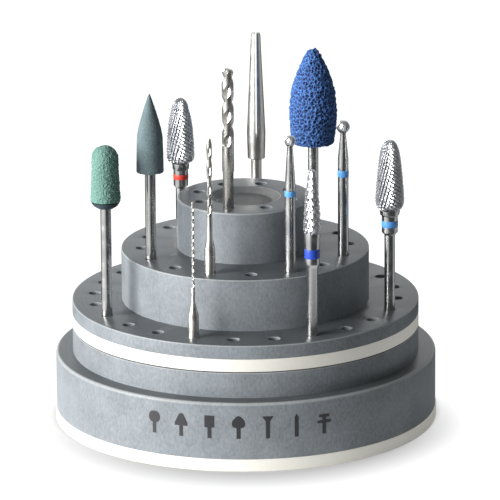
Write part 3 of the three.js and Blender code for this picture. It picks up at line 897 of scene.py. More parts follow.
@dataclass
class Base:
    """The part that stands still: foot plate, block and drum, clamped by three screws.

    Sizes are in millimetres.

    Attributes:
        bush_bore: the radius of the bore for the bush.
        pocket_radius: the radius of the pocket under the bush.
        flange_recess: the radius of the recess for the bush's flange.
        foot_chamfer: the rounding of the foot plate's two edges.
        block_round: the rounding of the block's upper edge.
        drum_chamfer: the rounding of the drum's upper edge.
        screw_bore: the radius of a screw's free hole.
        screw_thread_bore: the radius of a screw's hole in the drum.
        screw_head_bore: the radius of the countersunk hole's mouth.
        screw_head: the radius of a screw's head.
        screw_stem: the radius of its stem.
        screw_cone: the height of its cone.
        screw_rounds: the rounding of its head's edge and of its stem's end.
        thread_end_gap: the room above the end of a screw.
        flange_thickness: the thickness of the bush's flange.
        screws: the CAD nodes of the screws.
        slot_width: the width of a screw's slot.
        slot_depth: the depth of a screw's slot.
        print_proud: how far the ink stands off the wall.
        print_bottom: the height of the print's lower edge.
        print_height: the height of the print.
        print_turn: the angle from one pictogram to the next.
        print_first: the angle from the front to the first pictogram.
    """

    bush_bore: float = 6.05
    pocket_radius: float = 11.0
    flange_recess: float = 9.05
    foot_chamfer: float = 0.25
    block_round: float = 0.75
    drum_chamfer: float = 0.2
    screw_bore: float = 2.25
    screw_thread_bore: float = 2.05
    screw_head_bore: float = 3.85
    screw_head: float = 3.8
    screw_stem: float = 2.0
    screw_cone: float = 1.8
    screw_rounds: tuple[float, float] = (0.12, 0.3)
    thread_end_gap: float = 0.2
    flange_thickness: float = 1.5
    screws: tuple[str, ...] = ("foot_screw_1", "foot_screw_2", "foot_screw_3")
    slot_width: float = 1.0
    slot_depth: float = 0.9
    print_proud: float = 0.03
    print_bottom: float = 7.4
    print_height: float = 6.0
    print_turn: float = math.radians(8.6)
    print_first: float = math.radians(-28)

    def build(self, finishes: dict[str, bpy.types.Material]) -> None:
        """Models and dresses the base.

        Args:
            finishes: the materials by name.
        """
        plate = self.foot_plate()
        block = self.block()
        drum = self.drum()
        fit(plate, "base", ["foot_plate"], finishes["white_plastic"])
        fit(block, "base", ["base_ring"], finishes["grey_pvc"])
        fit(drum, "base", ["drum"], finishes["grey_pvc"])
        for node in self.screws:
            fit(self.screw(node), "base", [node], finishes["fastener_steel"])
        pictograms = self.pictograms()
        pictograms.data.materials.append(finishes["print_ink"])
        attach(pictograms, "base")

    def foot_plate(self) -> Piece:
        """Models the white foot plate with its countersunk holes."""
        disc = place_of("foot_plate")
        outline = softened(
            [(0, 0), (disc.radius, 0), (disc.radius, disc.top), (0, disc.top)],
            {1: self.foot_chamfer * MM, 2: self.foot_chamfer * MM}, 3,
        )
        plate = turned("foot_plate_turned", outline)
        screw = place_of(self.screws[0])
        head = self.screw_head_bore * MM
        bore = self.screw_bore * MM
        sink = screw.bottom + self.screw_cone * MM
        tools = []
        for node in self.screws:
            cone = [
                (0, -MM), (head, -MM), (head, screw.bottom), (bore, sink), (bore, disc.top + MM),
                (0, disc.top + MM),
            ]
            tools.append(turned("countersink", cone, place_of(node).axis, SOCKET_SIDES))
        carve(plate, joined(tools))
        smooth(plate)
        return plate

    def block(self) -> Piece:
        """Models the grey block with its rounded upper edge."""
        disc = place_of("base_ring")
        bore = self.bush_bore * MM
        pocket = self.pocket_radius * MM
        pocket_top = place_of("bearing_bush").bottom
        outline = softened([
            (pocket, disc.bottom), (disc.radius, disc.bottom), (disc.radius, disc.top), (bore, disc.top),
            (bore, pocket_top), (pocket, pocket_top), (pocket, disc.bottom),
        ], {2: self.block_round * MM}, 6)
        block = turned("base_block_turned", outline)
        carve(block, bore_tool(self.screws, self.screw_bore * MM, disc.bottom - MM, disc.top + MM))
        smooth(block)
        return block

    def drum(self) -> Piece:
        """Models the grey drum with the recess for the bush's flange."""
        disc = place_of("drum")
        bush = place_of("bearing_bush")
        bore = self.bush_bore * MM
        recess = self.flange_recess * MM
        flange = bush.top - self.flange_thickness * MM
        outline = softened([
            (bore, disc.bottom), (disc.radius, disc.bottom), (disc.radius, disc.top), (recess, disc.top),
            (recess, flange), (bore, flange), (bore, disc.bottom),
        ], {2: self.drum_chamfer * MM}, 3)
        drum = turned("drum_turned", outline)
        screw_top = place_of(self.screws[0]).top + self.thread_end_gap * MM
        carve(drum, bore_tool(self.screws, self.screw_thread_bore * MM, disc.bottom - MM, screw_top))
        smooth(drum)
        return drum

    def pictograms(self) -> Piece:
        """Models the printed row of plain tool shapes, as what solids on the wall share with thin ink."""
        wall = place_of("base_ring").radius
        bottom = self.print_bottom * MM
        solids = []
        for index, shape in enumerate(PICTOGRAMS):
            heading = -math.pi / 2 + self.print_first + index * self.print_turn
            axis = (wall * math.cos(heading), wall * math.sin(heading))
            solids.append(turned("pictogram", in_metres(shape, bottom), axis, SOCKET_SIDES))
        ink = wall + self.print_proud * MM
        top = bottom + self.print_height * MM
        shell = bored("base_print", wall, [(ink, bottom - MM), (ink, top)])
        carve(shell, joined(solids), "INTERSECT")
        return shell

    def screw(self, node: str) -> Piece:
        """Models a countersunk screw with a straight slot.

        Args:
            node: the CAD node that it stands for.

        Returns:
            The screw.
        """
        place = place_of(node)
        head = self.screw_head * MM
        stem = self.screw_stem * MM
        neck = place.bottom + self.screw_cone * MM
        outline = softened(
            [(0, place.bottom), (head, place.bottom), (stem, neck), (stem, place.top), (0, place.top)],
            {1: self.screw_rounds[0] * MM, 3: self.screw_rounds[1] * MM}, 2,
        )
        screw = turned(f"{node}_turned", outline, place.axis, SHANK_SIDES)
        put_down()
        size = (3 * head, self.slot_width * MM, 2 * self.slot_depth * MM)
        bpy.ops.mesh.primitive_cube_add(size=1, location=(*place.axis, place.bottom), scale=size)
        slot = bpy.context.active_object
        bpy.ops.object.transform_apply(location=True, rotation=True, scale=True)
        carve(screw, slot)
        smooth(screw)
        return screw


# ---- The carousel ----


@dataclass
class Carousel:
    """The part that turns: a white ring and three grey tiers with rings of sockets.

    Sizes are in millimetres.

    Attributes:
        bolt_bore: the radius of the bore for the bolt.
        thread_bore: the radius of the top tier's blind bore.
        thread_end_gap: the room above the end of the bolt.
        dowel_gap: the clearance round a dowel.
        tier_chamfer: the rounding of a tier's upper edge.
        ring_chamfer: the rounding of the white ring's upper edge.
        dish_land: the width of the level rim between the sockets and the dish.
        dish_slope: the width of the dish's sloping side.
        dish_depth: the dish's depth.
        dish_lip: how far below the rim the dish's darker material, a painted shade in the recess, starts.
        dish_rounds: the rounding of the top tier's edge, the dish's rim and the dish's floor.
        socket_edge: the distance from the top tier's edge to its ring of sockets.
    """

    bolt_bore: float = 3.2
    thread_bore: float = 3.05
    thread_end_gap: float = 0.2
    dowel_gap: float = 0.05
    tier_chamfer: float = 0.25
    ring_chamfer: float = 0.1
    dish_land: float = 1.4
    dish_slope: float = 2.0
    dish_depth: float = 1.2
    dish_lip: float = 0.1
    dish_rounds: tuple[float, float, float] = (0.4, 0.8, 1.2)
    socket_edge: float = 4.2

    def build(self, finishes: dict[str, bpy.types.Material]) -> None:
        """Models and dresses the carousel.

        Args:
            finishes: the materials by name.
        """
        white, grey = finishes["white_plastic"], finishes["grey_pvc"]
        ring = self.disc("slide_ring", self.ring_chamfer)
        lower = self.disc("tier_lower", self.tier_chamfer)
        middle = self.disc("tier_middle", self.tier_chamfer)
        upper = self.upper_tier()
        self.cut_sockets(SocketRing("tier_lower", "bullet_polisher_shank", 24), lower, ring)
        self.cut_sockets(SocketRing("tier_middle", "pointed_polisher_shank", 16), middle, lower)
        self.cut_sockets(SocketRing("tier_upper", "large_drill", 8), upper, middle)
        self.cut_dowel_holes("lower_dowel", [ring, lower, middle])
        self.cut_dowel_holes("upper_dowel", [middle, upper])
        upper.data.materials.append(grey)
        upper.data.materials.append(finishes["dish_pvc_painted_shade"])
        pieces = {"slide_ring": ring, "tier_lower": lower, "tier_middle": middle, "tier_upper": upper}
        for node, piece in pieces.items():
            smooth(piece)
            is_ring = piece is ring
            fit(piece, "carousel", [node], white if is_ring else grey)

    def disc(self, node: str, chamfer: float) -> Piece:
        """Models a disc with a softened upper edge and the bolt's bore.

        Args:
            node: the CAD node that it stands for.
            chamfer: the radius of its upper edge, in millimetres.

        Returns:
            The disc.
        """
        place = place_of(node)
        corners = [(0, place.bottom), (place.radius, place.bottom), (place.radius, place.top), (0, place.top)]
        outline = softened(corners, {2: chamfer * MM}, 3)[1:-1]
        return bored(f"{node}_turned", self.bolt_bore * MM, outline)

    def upper_tier(self) -> Piece:
        """Models the top tier with its shallow dish and the blind thread for the bolt."""
        place = place_of("tier_upper")
        rim = place.radius - (self.socket_edge + SOCKET_RADIUS + self.dish_land) * MM
        floor = rim - self.dish_slope * MM
        depth = place.top - self.dish_depth * MM
        thread = self.thread_bore * MM
        thread_top = place_of("pivot_bolt").top + self.thread_end_gap * MM
        rounds = {corner: size * MM for corner, size in enumerate(self.dish_rounds, 4)}
        outline = softened([
            (0, thread_top), (thread, thread_top), (thread, place.bottom), (place.radius, place.bottom),
            (place.radius, place.top), (rim, place.top), (floor, depth), (0, depth),
        ], rounds, 6)
        tier = turned("tier_upper_turned", outline)
        # The dish's faces take the darker copy of the grey, a painted shade in the recess.
        for face in tier.data.polygons:
            spot = face.center
            if spot.z < place.top - self.dish_lip * MM and spot.z > thread_top + MM and spot.xy.length < rim:
                face.material_index = 1
        return tier

    def cut_sockets(self, ring: SocketRing, tier: Piece, below: Piece) -> None:
        """Cuts a ring of sockets through its tier and into the piece below."""
        tool = ring.tool()
        carve(tier, tool, keep=True)
        carve(below, tool)

    def cut_dowel_holes(self, name: str, discs: Sequence[Piece]) -> None:
        """Cuts the holes for a pair of dowels in the discs that they hold in line."""
        nodes = [f"{name}_1", f"{name}_2"]
        place = place_of(nodes[0])
        gap = self.dowel_gap * MM
        tool = bore_tool(nodes, place.radius + gap, place.bottom - 2 * gap, place.top + 2 * gap)
        for disc in discs:
            carve(disc, tool, keep=disc is not discs[-1])


def finish_hidden_nodes(finishes: dict[str, bpy.types.Material]) -> None:
    """Gives the bearing parts inside the stand, whose CAD shapes stay, their materials."""
    looks = {
        "bearing_bush": "bush_brass", "thrust_washer": "washer_plastic", "head_washer": "washer_plastic",
        "pivot_bolt": "fastener_steel", "lower_dowel_1": "fastener_steel", "lower_dowel_2": "fastener_steel",
        "upper_dowel_1": "fastener_steel", "upper_dowel_2": "fastener_steel",
    }
    for node, look in looks.items():
        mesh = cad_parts[node].data
        mesh.materials.clear()
        mesh.materials.append(finishes[look])


# ---- The instruments ----

SHANK_RADIUS = 1.175
SHANK_CHAMFER = 0.15
BORE_GAP = 0.05
SHANK_FOOT = ((0.0, 0.0), (SHANK_RADIUS - SHANK_CHAMFER, 0.0), (SHANK_RADIUS, SHANK_CHAMFER))


@dataclass(frozen=True)
class Instrument:
    """What every instrument shares. Heights in all outlines are above the end of its shank.

    Attributes:
        name: the start of its CAD nodes' names.
    """

    name: str

    @property
    def place(self) -> Place:
        """Where the instrument's shank stands."""
        shank = f"{self.name}_shank"
        return place_of(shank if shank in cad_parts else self.name)

    def turn(self, part: str, outline: Outline, sides: int = HEAD_SIDES) -> Piece:
        """Turns a part of the instrument on its own axis."""
        place = self.place
        return turned(f"{self.name}_{part}_turned", in_metres(outline, place.bottom), place.axis, sides)

    def fit(self, piece: Piece, part: str, slot: str, material: bpy.types.Material) -> None:
        """Puts a part in place of its CAD node, to move with the instrument."""
        node = f"{self.name}_{part}" if part else self.name
        fit(piece, f"{self.name}_tool", [node], material)

    def plain_shank(self, length: float, finishes: dict[str, bpy.types.Material]) -> None:
        """Makes a plain shank of the given length."""
        outline = [*SHANK_FOOT, (SHANK_RADIUS, length), (0, length)]
        shank = self.turn("shank", outline, SHANK_SIDES)
        smooth(shank)
        self.fit(shank, "shank", "shank_steel", finishes["shank_steel"])

    def colour_band(self, band: "Band", finishes: dict[str, bpy.types.Material]) -> None:
        """Makes the enamel band that fills the groove."""
        inner = band.radius - band.groove + band.gap
        outer = band.radius + band.proud
        low = band.bottom + band.gap
        high = band.top - band.gap
        corners = [(inner, low), (outer, low), (outer, high), (inner, high), (inner, low)]
        ring = self.turn("band", softened(corners, {1: band.proud, 2: band.proud}, 3))
        smooth(ring)
        self.fit(ring, "band", band.slot, finishes[band.slot])


@dataclass(frozen=True)
class Band:
    """A colour band in a groove.

    Attributes:
        slot: the band's finish and material slot.
        radius: the shank's radius beside the band.
        bottom: the band's lower height.
        top: its upper height.
        groove: the groove's depth.
        gap: the clearance between the band and the groove.
        proud: how far the band stands out of the groove.
    """

    slot: str
    radius: float
    bottom: float
    top: float
    groove: float = 0.12
    gap: float = 0.03
    proud: float = 0.06

    @property
    def grooved(self) -> Outline:
        """The groove's points in the shank's outline."""
        floor = self.radius - self.groove
        return [(self.radius, self.bottom), (floor, self.bottom), (floor, self.top), (self.radius, self.top)]


class Pattern(Enum):
    """The kinds of procedural texture that shape a skin, by Blender's name of each."""

    LUMPS = "CLOUDS"
    PORES = "VORONOI"


@dataclass(frozen=True)
class Grain:
    """One layer of roughness in the skin of an abrasive head.

    Attributes:
        pattern: the texture that shapes it.
        size: the size of its lumps or pores, in millimetres.
        depth: how deep it goes, in millimetres.
        level: the share of the depth that lies below the smooth skin.
    """

    pattern: Pattern
    size: float
    depth: float
    level: float = 1.0

    def press(self, piece: Piece) -> None:
        """Presses the grain into a skin of small faces."""
        texture = bpy.data.textures.new(f"{piece.name}_grain", self.pattern.value)
        texture.noise_scale = self.size * MM
        if self.pattern is Pattern.LUMPS:
            texture.noise_type = "HARD_NOISE"
        press = piece.modifiers.new("grain", "DISPLACE")
        press.texture = texture
        press.texture_coords = "LOCAL"
        press.strength = self.depth * MM
        press.mid_level = self.level
        apply_modifier(piece, press)


@dataclass(frozen=True)
class Polisher(Instrument):
    """An abrasive rubber head glued on a plain shank.

    Attributes:
        slot: the head's finish and material slot.
        shank_length: the length of the shank.
        head: points that the head's outline passes, from its lower edge to its tip.
        grains: the layers of roughness in its skin.
        skin: the size of the skin's faces, in millimetres.
    """

    slot: str
    shank_length: float
    head: Outline
    grains: tuple[Grain, ...]
    skin: float = 0.12

    def build(self, finishes: dict[str, bpy.types.Material]) -> None:
        """Models and dresses the polisher."""
        self.plain_shank(self.shank_length, finishes)
        bore = SHANK_RADIUS + BORE_GAP
        bore_top = self.shank_length + BORE_GAP
        edge = self.head[0]
        outline = [(0, bore_top), (bore, bore_top), (bore, edge[1]), *flowing(self.head)]
        head = self.turn("head", outline)
        remesh = head.modifiers.new("skin", "REMESH")
        remesh.mode = "VOXEL"
        remesh.voxel_size = self.skin * MM
        apply_modifier(head, remesh)
        for grain in self.grains:
            grain.press(head)
        smooth(head, math.radians(80))
        self.fit(head, "head", self.slot, finishes[self.slot])


@dataclass(frozen=True)
class CappedPolisher(Polisher):
    """A polisher with a dark glue cap under its head.

    Attributes:
        cap: points that the cap's outline passes, from its lower edge to the head.
    """

    cap: Outline = ((1.7, 29.6), (2.5, 30.1), (3.0, 30.7), (3.1, 31.05))

    def build(self, finishes: dict[str, bpy.types.Material]) -> None:
        """Models and dresses the polisher and its cap."""
        super().build(finishes)
        inner = SHANK_RADIUS + BORE_GAP
        low = self.cap[0][1]
        top = self.cap[-1][1]
        cap = self.turn("cap", [(inner, low), *flowing(self.cap), (inner, top), (inner, low)])
        smooth(cap)
        self.fit(cap, "cap", "glue_cap", finishes["glue_cap"])


def even_rows(outline: Outline, spacing: float) -> list[tuple[float, float]]:
    """Cuts an outline's long stretches into short ones of about equal length."""
    rows = [tuple(outline[0])]
    for start, end in zip(outline, outline[1:]):
        start, end = Vector(start), Vector(end)
        count = max(1, round((end - start).length / spacing))
        rows.extend(tuple(start.lerp(end, step / count)) for step in range(1, count + 1))
    return rows


def saw_teeth(count: int, depth: float) -> list[float]:
    """Draws a section with saw teeth, as shares of the full radius."""
    tooth = [1.0, 1 - depth, 1 - 0.75 * depth, 1 - 0.35 * depth]
    return tooth * count


@dataclass(frozen=True)
class Cutter(Instrument):
    """A carbide head with crossing flutes, brazed on a thickened neck.

    Attributes:
        below_band: the shank's outline from its plain part to the band.
        band: the colour band.
        collar: the outline from the band to the head.
        head_bottom: the head's lower height.
        head: points that the head's outline passes, from its lower edge to its tip.
        flutes: how many right-hand flutes there are.
        lead: the height of one full turn of a flute.
        cross_cuts: how many left-hand grooves cross them.
        cross_lead: the height of one full turn of a groove.
        tooth_depth: the depth of the flutes, as a share of the radius.
        cross_depth: the depth of the grooves, as a share of the radius.
        gullet: the share of a flute that lies in front of its cutting edge.
        groove_width: the share of the way round that a groove takes from one to the next.
        row: the height of a row of faces.
    """

    below_band: Outline
    band: Band
    collar: Outline
    head_bottom: float
    head: Outline
    flutes: int = 20
    lead: float = 60.0
    cross_cuts: int = 14
    cross_lead: float = 13.0
    tooth_depth: float = 0.2
    cross_depth: float = 0.13
    gullet: float = 0.06
    groove_width: float = 0.45
    row: float = 0.13

    def build(self, finishes: dict[str, bpy.types.Material]) -> None:
        """Models and dresses the cutter."""
        collar_radius = self.collar[-1][0]
        outline = [
            *SHANK_FOOT, *self.below_band, *self.band.grooved, *self.collar,
            (collar_radius, self.head_bottom), (0, self.head_bottom),
        ]
        shank = self.turn("shank", outline, SHANK_SIDES)
        smooth(shank)
        self.fit(shank, "shank", "shank_steel", finishes["shank_steel"])
        self.colour_band(self.band, finishes)
        self.fit(self.toothed_head(collar_radius), "head", "carbide", finishes["carbide"])

    def toothed_head(self, collar_radius: float) -> Piece:
        """Turns the head, winds its skin along the flutes and presses flutes and grooves into it."""
        place = self.place
        curve = even_rows([(collar_radius, self.head_bottom), *flowing(self.head)], self.row)
        head = self.turn("head", [(0, self.head_bottom), *curve], 8 * self.flutes)
        bottom = place.bottom + self.head_bottom * MM
        for point in head.data.vertices:
            rise = (point.co.z - bottom) / MM
            around = math.atan2(point.co.y - place.y, point.co.x - place.x)
            reach = math.hypot(point.co.y - place.y, point.co.x - place.x)
            in_flute = (around / math.tau * self.flutes) % 1.0
            around += math.tau * rise / self.lead
            in_groove = ((around / math.tau + rise / self.cross_lead) * self.cross_cuts) % 1.0
            flute = self.tooth_depth * (1 - in_flute if in_flute > self.gullet else 0.0)
            across = min(in_groove / self.groove_width, 1.0)
            groove = self.cross_depth * max(0.0, math.sin(math.pi * across))
            reach *= 1 - max(flute, groove)
            point.co.x = place.x + reach * math.cos(around)
            point.co.y = place.y + reach * math.sin(around)
        smooth(head, math.radians(18))
        return head


@dataclass(frozen=True)
class RoundBur(Instrument):
    """A steel bur with a small fluted ball on a slim neck.

    Attributes:
        ball_radius: the ball's radius.
        ball_centre: the height of its middle.
        neck_radius: the neck's radius.
        neck_bottom: where the cone ends and the neck starts.
        cone_bottom: where the shank starts to taper.
        band: the colour band.
        flutes: how many flutes the ball has.
        flute_depth: their depth, as a share of the radius.
        twist: how far a flute winds round the ball, in radians.
        rows: how many rows of faces the ball has.
    """

    ball_radius: float
    ball_centre: float
    neck_radius: float
    neck_bottom: float
    cone_bottom: float
    band: Band
    flutes: int = 10
    flute_depth: float = 0.14
    twist: float = 0.9
    rows: int = 16

    def build(self, finishes: dict[str, bpy.types.Material]) -> None:
        """Models and dresses the bur."""
        seat_angle = math.acos(self.neck_radius / self.ball_radius)
        seat = self.ball_centre - self.ball_radius * math.sin(seat_angle)
        outline = [
            *SHANK_FOOT, *self.band.grooved, (SHANK_RADIUS, self.cone_bottom),
            (self.neck_radius, self.neck_bottom), (self.neck_radius, seat), (0, seat),
        ]
        shank = self.turn("shank", outline, SHANK_SIDES)
        smooth(shank)
        self.fit(shank, "shank", "shank_steel", finishes["shank_steel"])
        self.colour_band(self.band, finishes)
        place = self.place
        stations = []
        for step in range(self.rows):
            share = step / self.rows
            angle = -seat_angle + (math.pi / 2 + seat_angle) * share
            height = place.bottom + (self.ball_centre + self.ball_radius * math.sin(angle)) * MM
            stations.append(Station(height, self.ball_radius * math.cos(angle) * MM, self.twist * share))
        stations.append(Station(place.bottom + (self.ball_centre + self.ball_radius) * MM, 0, 0))
        section = saw_teeth(self.flutes, self.flute_depth)
        ball = column(f"{self.name}_head_cut", section, stations, place.axis)
        smooth(ball, math.radians(25))
        self.fit(ball, "head", "carbide", finishes["carbide"])


@dataclass(frozen=True)
class TwistDrill(Instrument):
    """A two-fluted drill in one piece with its shank.

    Attributes:
        radius: the fluted part's radius.
        length: the drill's length.
        flute_bottom: where the flutes start.
        pitch: the height of one turn of a flute.
        point: the point's height.
        neck: the outline between the shank and the flutes.
        slices: how many layers make one turn.
        land: half the angle that each land takes of the section.
        web: the thickness between the flutes, as a share of the radius.
        flare: how quickly the section opens from web to land.
        point_shares: where in the point's height its rounding has a layer.
        point_turn: how far each of those layers turns on.
    """

    radius: float
    length: float
    flute_bottom: float
    pitch: float
    point: float
    neck: Outline
    slices: int = 24
    land: float = math.radians(42)
    web: float = 0.32
    flare: float = 1.3
    point_shares: tuple[float, ...] = (0.35, 0.7)
    point_turn: float = 0.1

    def build(self, finishes: dict[str, bpy.types.Material]) -> None:
        """Models and dresses the drill."""
        place = self.place
        start = self.flute_bottom - self.radius
        point_bottom = self.length - self.point
        count = round(self.slices * (point_bottom - start) / self.pitch)
        stations = []
        for index in range(count + 1):
            rise = (point_bottom - start) * index / count
            turn = math.tau * rise / self.pitch
            stations.append(Station(place.bottom + (start + rise) * MM, self.radius * MM, turn))
        for share in self.point_shares:
            height = place.bottom + (point_bottom + share * self.point) * MM
            scale = self.radius * math.sqrt(1 - share ** 2) * MM
            stations.append(Station(height, scale, stations[-1].turn + self.point_turn))
        stations.append(Station(place.bottom + self.length * MM, 0, 0))
        flutes = column(f"{self.name}_flutes", self.section(), stations, place.axis)
        outline = [*SHANK_FOOT, *self.neck, (self.radius, self.flute_bottom), (0, self.flute_bottom)]
        shank = self.turn("shank", outline, SHANK_SIDES)
        carve(shank, flutes, "UNION")
        smooth(shank)
        self.fit(shank, "", "drill_steel", finishes["drill_steel"])

    def section(self, points: int = 28) -> list[float]:
        """Draws the section: two lands at the full radius and two hollow flutes between them."""
        shares = []
        for index in range(points):
            angle = math.tau * index / points
            from_flute = abs((angle % math.pi) - math.pi / 2)
            open_angle = math.pi / 2 - self.land
            reach = min(1.0, from_flute / open_angle)
            shares.append(self.web + (1 - self.web) * reach ** self.flare)
        return shares


@dataclass(frozen=True)
class SlottedMandrel(Instrument):
    """A mandrel with two tapered prongs, which a strip of abrasive paper slides between.

    Attributes:
        outline: its outline above the shank's foot.
        slot: the width of its slot.
        hole_height: the height of the cross hole where the slot ends.
        hole_radius: the cross hole's radius.
        tool_reach: how far the cutting tools reach across and past the mandrel.
    """

    outline: Outline
    slot: float
    hole_height: float
    hole_radius: float
    tool_reach: float = 10.0

    def build(self, finishes: dict[str, bpy.types.Material]) -> None:
        """Models and dresses the mandrel."""
        place = self.place
        body = self.turn("body", [*SHANK_FOOT, *self.outline])
        height = place.bottom + self.hole_height * MM
        across = self.tool_reach * MM
        long = (self.outline[-1][1] - self.hole_height) * MM + across / 2
        put_down()
        bpy.ops.mesh.primitive_cube_add(
            size=1, location=(*place.axis, height + long / 2), scale=(self.slot * MM, across, long)
        )
        slit = bpy.context.active_object
        bpy.ops.object.transform_apply(location=True, rotation=True, scale=True)
        carve(body, slit)
        put_down()
        bpy.ops.mesh.primitive_cylinder_add(
            vertices=SOCKET_SIDES, radius=self.hole_radius * MM, depth=across,
            location=(*place.axis, height), rotation=(math.pi / 2, 0, 0),
        )
        hole = bpy.context.active_object
        bpy.ops.object.transform_apply(location=True, rotation=True, scale=True)
        carve(body, hole)
        smooth(body)
        self.fit(body, "", "mandrel_steel", finishes["mandrel_steel"])


INSTRUMENTS = (
    CappedPolisher(
        "bullet_polisher", "green_rubber", 38,
        ((3.3, 31.1), (3.45, 31.7), (3.2, 37), (3.1, 40.7), (2.9, 41.85), (2.2, 42.9), (1.15, 43.6),
         (0, 43.8)),
        (Grain(Pattern.LUMPS, 0.75, 0.3),),
    ),
    Polisher(
        "pointed_polisher", "grey_rubber", 40,
        ((2.95, 33.6), (3.05, 34), (2.9, 40.9), (2.6, 43), (2.1, 45), (1.5, 47.1), (0.9, 49), (0.35, 50.6),
         (0, 51.3)),
        (Grain(Pattern.LUMPS, 0.4, 0.1),),
    ),
    Polisher(
        "torpedo_polisher", "blue_porous_rubber", 43,
        ((4.7, 32.5), (4.9, 33.1), (5.3, 36), (5.5, 39.2), (5.35, 42.5), (4.8, 45.8), (3.6, 49.3), (2.4, 52),
         (1.5, 53.7), (0.8, 54.3), (0, 54.45)),
        (Grain(Pattern.PORES, 0.72, 0.55, 0.85), Grain(Pattern.LUMPS, 0.4, 0.2, 0.8)), 0.13,
    ),
    Cutter(
        "tapered_cutter", ((SHANK_RADIUS, 21.8), (1.65, 22.45)), Band("red_band", 1.65, 23.9, 25.1),
        ((1.65, 26), (1.85, 26.3), (1.9, 27.3)), 27.6,
        ((2.9, 28.2), (3.2, 29.7), (2.8, 36.2), (2.15, 39.6), (1.65, 41.4), (1.1, 42.2), (0.5, 42.6),
         (0, 42.75)),
    ),
    Cutter(
        "slender_cutter", ((SHANK_RADIUS, 20.4), (1.5, 21.05), (1.6, 21.4)),
        Band("dark_blue_band", 1.6, 22.6, 24.7), ((1.6, 25.3), (1.75, 27.6)), 28.2,
        ((2, 28.9), (1.75, 33.3), (1.4, 37.6), (0.9, 41.5), (0.5, 42.1), (0, 42.3)),
        flutes=10, lead=22, cross_cuts=4, cross_lead=6,
    ),
    Cutter(
        "egg_cutter", ((SHANK_RADIUS, 22.3), (1.75, 22.9)), Band("blue_band", 1.75, 24.1, 25.6),
        ((1.75, 26.6), (2.1, 26.9), (2.2, 27.6)), 27.9,
        ((2.9, 28.6), (3.2, 29.7), (3.15, 31.7), (3, 33.7), (2.6, 37.9), (2.2, 40.7), (1.6, 42.5),
         (0.9, 43.4), (0, 43.7)),
    ),
    RoundBur("small_round_bur", 1.25, 43.05, 0.65, 41.3, 32.8, Band("blue_band", SHANK_RADIUS, 30.7, 32.05)),
    RoundBur("large_round_bur", 1.48, 42.75, 0.66, 40.7, 35.5, Band("blue_band", SHANK_RADIUS, 31.5, 33.05)),
    TwistDrill("fine_drill", 0.32, 35.5, 16.5, 3.4, 0.3, ((SHANK_RADIUS, 10.3), (0.4, 13.3), (0.4, 16.2))),
    TwistDrill("medium_drill", 0.6, 44, 26.85, 8.6, 0.4, ((SHANK_RADIUS, 19.55), (0.6, 21.85)), slices=36),
    TwistDrill("large_drill", 1.3, 44.3, 27, 11, 0.9, ((SHANK_RADIUS, 21), (1.3, 21.2)), slices=36),
    SlottedMandrel(
        "slotted_mandrel",
        ((SHANK_RADIUS, 27.5), (1.95, 27.9), (2.05, 31.5), (2.1, 33.7), (1.05, 56.7), (0.85, 56.9),
         (0, 56.9)),
        0.3, 33.3, 0.3,
    ),
)


# ---- The studio ----


